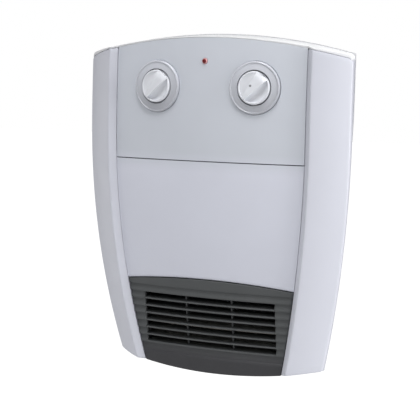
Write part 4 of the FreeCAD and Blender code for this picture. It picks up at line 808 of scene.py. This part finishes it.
# outward heights of a dial ring: its inner edge, valley, lip, outer corner, foot and inside
RING_FACE, RING_VALLEY, RING_LIP = 2.55, 1.35, 2.4
RING_CORNER, RING_FOOT, RING_INSIDE = 1.4, -4.0, -0.4
RING_WALL = 1.5


def dial_ring(name, joint_name):
    """Ring whose face falls outwards to a valley beside a narrow raised lip."""
    hole = KNOB_RADIUS + KNOB_GAP
    corners = [(hole + 1, RING_INSIDE, 0), (hole, RING_INSIDE, 0.2), (hole, RING_FACE, 0.35),
               (RING_RADIUS - 2.3, RING_VALLEY, 0.4), (RING_RADIUS - 1.3, RING_LIP, 0.5),
               (RING_RADIUS - 0.1, RING_CORNER, 0.3), (RING_RADIUS, RING_FOOT, 0.2),
               (RING_RADIUS - RING_WALL, RING_FOOT, 0)]
    section = rounded(corners, 4) + [Vector((RING_RADIUS - RING_WALL, RING_INSIDE))]
    points, faces = lathe([(p.x, p.y) for p in section], 144, dial_axes(joint_name))
    make_piece(name + "_turned", points, faces, "heater_body", [name],
               MATERIALS["dial_plastic"])


# Knobs: v runs along the grip towards its wide end, u across it, and side is the sign of u.
POINTER_TURN = math.radians(38)
KNOB_OUT, KNOB_ROUND, CROWN = 4.4, 1.5, 0.6
# skirt: depths behind the face of its straight part's start and foot and of its inside, and wall
SKIRT_START, SKIRT_FOOT, SKIRT_INSIDE, SKIRT_WALL = -4.0, -10.9, -6.0, 2
# grip: distance of its edges from the middle line at its narrow and wide ends
GRIP_EDGES = {1: (-0.6, 6.1), -1: (3.0, 7.0)}
# depth of the dish in the grip, and the half width from which it has that depth
GRIP_DISH, DISH_HALF = 1.0, 4.5
# scoops beside the grip: depth, and how softly each one starts at the grip's edge
SCOOPS = {1: (4.4, 0.8), -1: (1.5, 1.4)}
# reach from which a scoop has its full depth, and how fast it gets shallower below that
SCOOP_REACH, SCOOP_POWER = 7, 0.7
# the face rolls off towards the grip's wide end
ROLL_START, ROLL_RADIUS = 7.5, 10.0
FACE_SHARES = [0, 0.01, 0.03, 0.06, 0.1, 0.16, 0.23, 0.31,
               0.4, 0.5, 0.6, 0.7, 0.8, 0.89, 0.96, 1]


def grip_edge(v, side):
    """Distance of the grip's edge from its middle line."""
    narrow, wide = GRIP_EDGES[side]
    return narrow + (wide - narrow) * (v + KNOB_RADIUS) / (2 * KNOB_RADIUS)


def knob_height(u, v, inner):
    """Outward height of the knob's front: a dished grip with a scoop on each side."""
    r = math.hypot(u, v)
    height = KNOB_OUT + CROWN * (1 - (r / KNOB_RADIUS) ** 2)
    height -= drop(ROLL_RADIUS, min(max(0.0, v - ROLL_START), ROLL_RADIUS * 0.8))
    right, left = grip_edge(v, 1), -grip_edge(v, -1)
    half = (right - left) / 2
    if left < u < right:
        share = (u - (right + left) / 2) / half
        return height - GRIP_DISH * min(1, half / DISH_HALF) * (1 - share * share)
    side = 1 if u >= right else -1
    edge = right if side > 0 else -left
    reach = math.sqrt(max(inner * inner - v * v, 0)) - edge
    share = (side * u - edge) / reach if reach > 0.01 else 0
    if share <= 0 or share >= 1:
        return height
    depth, soft = SCOOPS[side]
    deepest = (soft / (soft + 1)) ** soft / (soft + 1)
    depth *= min(1, reach / SCOOP_REACH) ** SCOOP_POWER
    return height - depth * share ** soft * (1 - share) / deepest


def face_row(v, inner):
    """Places across the knob's face at v, denser beside the grip."""
    chord = math.sqrt(max(inner * inner - v * v, 0))
    halves = []
    for side in (-1, 1):
        edge = min(grip_edge(v, side), chord)
        halves.append([edge + (chord - edge) * share for share in FACE_SHARES])
    left, right = halves
    top = spread(-left[0], right[0], 16)[1:-1]
    return [-u for u in reversed(left)] + top + right


def pointer_turned(u, v):
    """Place (right, up) about the knob's axis of a place (u, v) along the pointer."""
    return (u * math.cos(POINTER_TURN) + v * math.sin(POINTER_TURN),
            -u * math.sin(POINTER_TURN) + v * math.cos(POINTER_TURN))


def knob(name, joint_name, material):
    put_point = dial_axes(joint_name)
    inner = KNOB_RADIUS - KNOB_ROUND

    def turned(u, out, v):
        x, z = pointer_turned(u, v)
        return put_point(x, out, z)

    rows = 72
    points, edge_right, edge_left = [], [], []
    for step in range(rows + 1):
        v = -inner * math.cos(math.pi * step / rows)
        line = face_row(v, inner)
        points += [turned(u, knob_height(u, v, inner), v) for u in line]
        edge_right.append((line[-1], v))
        edge_left.append((line[0], v))
    faces = grid_faces(rows + 1, len(line))
    loop = edge_right + edge_left[-2:0:-1]
    rim = [(inner + KNOB_ROUND * math.sin(turn), -KNOB_ROUND * (1 - math.cos(turn)))
           for turn in (math.radians(angle) for angle in range(0, 91, 15))]
    rim += [(KNOB_RADIUS, SKIRT_START), (KNOB_RADIUS, SKIRT_FOOT),
            (KNOB_RADIUS - SKIRT_WALL, SKIRT_FOOT), (KNOB_RADIUS - SKIRT_WALL, SKIRT_INSIDE)]
    start = len(points)
    for r, lower in rim:
        size = r / inner
        points += [turned(u * size, knob_height(u, v, inner) + lower, v * size)
                   for u, v in loop]
    faces += grid_faces(len(rim), len(loop), start, closed=True)
    faces.append(tuple(range(len(points) - len(loop), len(points))))
    make_piece(name + "_grip", points, faces, name, [name], material, 1e-6)


def marked_material():
    """The knobs' plastic with a small printed dot on the grip."""
    x, z = pointer_turned(-3.6, -0.4)
    centre = dial_axes("thermostat_knob_turn")(x, KNOB_OUT, z)
    material = MATERIALS["knob_plastic"].copy()
    material.name = "marked_knob_plastic"
    tree = material.node_tree
    shader = tree.nodes["Principled BSDF"]
    body = shader.inputs["Base Color"].links[0].from_socket
    coordinates = tree.nodes.new("ShaderNodeTexCoord")
    distance = tree.nodes.new("ShaderNodeVectorMath")
    distance.operation = "DISTANCE"
    distance.inputs[1].default_value = centre
    tree.links.new(coordinates.outputs["Object"], distance.inputs[0])
    dot = map_range(tree, distance.outputs["Value"], 0, 1, 0.0009, 0.0013)
    tree.links.new(mix(tree, dot, (0.20, 0.20, 0.22), body), shader.inputs["Base Color"])
    return material


for control, ring, plastic in (
        ("selector_knob", "left_dial_ring", MATERIALS["knob_plastic"]),
        ("thermostat_knob", "right_dial_ring", marked_material())):
    dial_ring(ring, control + "_turn")
    knob(control, control + "_turn", plastic)


LENS_RADIUS, LENS_OUT, LENS_DOME, LENS_DEPTH = 2.6, 2.0, 1.7, 3.0


def indicator_lens():
    """Domed lens in the panel's hole."""
    face = front(0, LAMP_HEIGHT)
    section = [Vector((0, LENS_OUT))]
    section += [Vector((LENS_RADIUS * math.sin(turn), LENS_OUT - LENS_DOME
                        + LENS_DOME * math.cos(turn)))
                for turn in (math.radians(angle) for angle in range(10, 91, 10))]
    section += [Vector((LENS_RADIUS, -LENS_DEPTH)), Vector((0, -LENS_DEPTH))]
    points, faces = lathe([(p.x, p.y) for p in section], 40,
                          lambda x, out, z: place(x, face - out, LAMP_HEIGHT + z))
    make_piece("indicator_lens_domed", points, faces, "heater_body", ["indicator_lens"],
               MATERIALS["lens_plastic"], 1e-6)


indicator_lens()


# ---------------------------------------------------------------- camera, light and floor

# the camera's place in metres, and its right, up and backward directions
CAMERA_PLACE = (0.5446, -1.2144, 0.0400)
CAMERA_AXES = ((0.8980, 0.4393, 0.0257), (-0.0606, 0.0655, 0.9960), (0.4358, -0.8960, 0.0854))
CAMERA_LENS, CAMERA_SENSOR = 109.72, 36
# azimuth and elevation in degrees, distance and size in metres, power in watts
LIGHTS = {
    "top": (16, 67, 1.6, 0.6, 16),
    "right": (70, 20, 1.9, 1.0, 9.5),
    "side": (95, 5, 1.9, 1.2, 29),
    "left": (-80, -6, 1.9, 1.3, 8),
    "front": (-5, 6, 2.4, 1.4, 8.5),
}
# floor in metres, its emission on the object and to the camera, and the world's light
FLOOR_HALF, FLOOR_HEIGHT = 30.0, -0.95
FLOOR_GLOW, FLOOR_SHOWN, AMBIENT = 0.36, 1.0, 0.21


def add_camera():
    data = bpy.data.cameras.new("camera")
    camera = bpy.data.objects.new("camera", data)
    bpy.context.scene.collection.objects.link(camera)
    turn = Matrix(CAMERA_AXES).transposed().to_4x4()
    camera.matrix_world = Matrix.Translation(CAMERA_PLACE) @ turn
    data.lens = CAMERA_LENS
    data.sensor_width = CAMERA_SENSOR
    data.clip_start, data.clip_end = 0.05, 60
    bpy.context.scene.camera = camera


def add_light(name, azimuth, elevation, distance, size, power):
    """Soft square light aimed at the middle of the heater."""
    data = bpy.data.lights.new(name, "AREA")
    data.shape = "SQUARE"
    data.size = size
    data.energy = power
    light = bpy.data.objects.new(name, data)
    bpy.context.scene.collection.objects.link(light)
    a, e = math.radians(azimuth), math.radians(elevation)
    away = Vector((math.sin(a) * math.cos(e), -math.cos(a) * math.cos(e), math.sin(e)))
    middle = (Vector(cad_box[0]) + Vector(cad_box[1])) / 2
    light.location = middle + away * distance
    light.rotation_mode = "QUATERNION"
    light.rotation_quaternion = away.to_track_quat("Z", "Y")


def add_floor():
    """Plain pale floor below the wall-hung heater."""
    mesh = bpy.data.meshes.new("floor")
    corners = [(x * FLOOR_HALF, y * FLOOR_HALF, FLOOR_HEIGHT)
               for x, y in ((-1, -1), (1, -1), (1, 1), (-1, 1))]
    mesh.from_pydata(corners, [], [(0, 1, 2, 3)])
    floor = bpy.data.objects.new("floor", mesh)
    bpy.context.scene.collection.objects.link(floor)
    material, tree, shader = new_material("floor")
    tree.links.new(mix(tree, noise(tree, 2, 2), (0.36, 0.36, 0.36), (0.40, 0.40, 0.40)),
                   shader.inputs["Base Color"])
    shader.inputs["Roughness"].default_value = 0.9
    shader.inputs["Emission Color"].default_value = (1, 1, 1, 1)
    rays = tree.nodes.new("ShaderNodeLightPath")
    glow = map_range(tree, rays.outputs["Is Camera Ray"], FLOOR_GLOW, FLOOR_SHOWN, 0, 1)
    tree.links.new(glow, shader.inputs["Emission Strength"])
    mesh.materials.append(material)


def add_world():
    """Even soft light, with a white backdrop for the camera."""
    world = bpy.data.worlds.new("studio")
    bpy.context.scene.world = world
    world.use_nodes = True
    nodes, links = world.node_tree.nodes, world.node_tree.links
    background = nodes["Background"]
    background.inputs["Strength"].default_value = AMBIENT
    backdrop = nodes.new("ShaderNodeBackground")
    rays = nodes.new("ShaderNodeLightPath")
    either = nodes.new("ShaderNodeMixShader")
    for shader in (background, backdrop):
        shader.inputs["Color"].default_value = (1, 1, 1, 1)
    links.new(rays.outputs["Is Camera Ray"], either.inputs["Fac"])
    links.new(background.outputs["Background"], either.inputs[1])
    links.new(backdrop.outputs["Background"], either.inputs[2])
    links.new(either.outputs["Shader"], nodes["World Output"].inputs["Surface"])


add_camera()
add_floor()
for light_name, light_values in LIGHTS.items():
    add_light(light_name, *light_values)
add_world()
bpy.context.scene.view_settings.view_transform = "Standard"
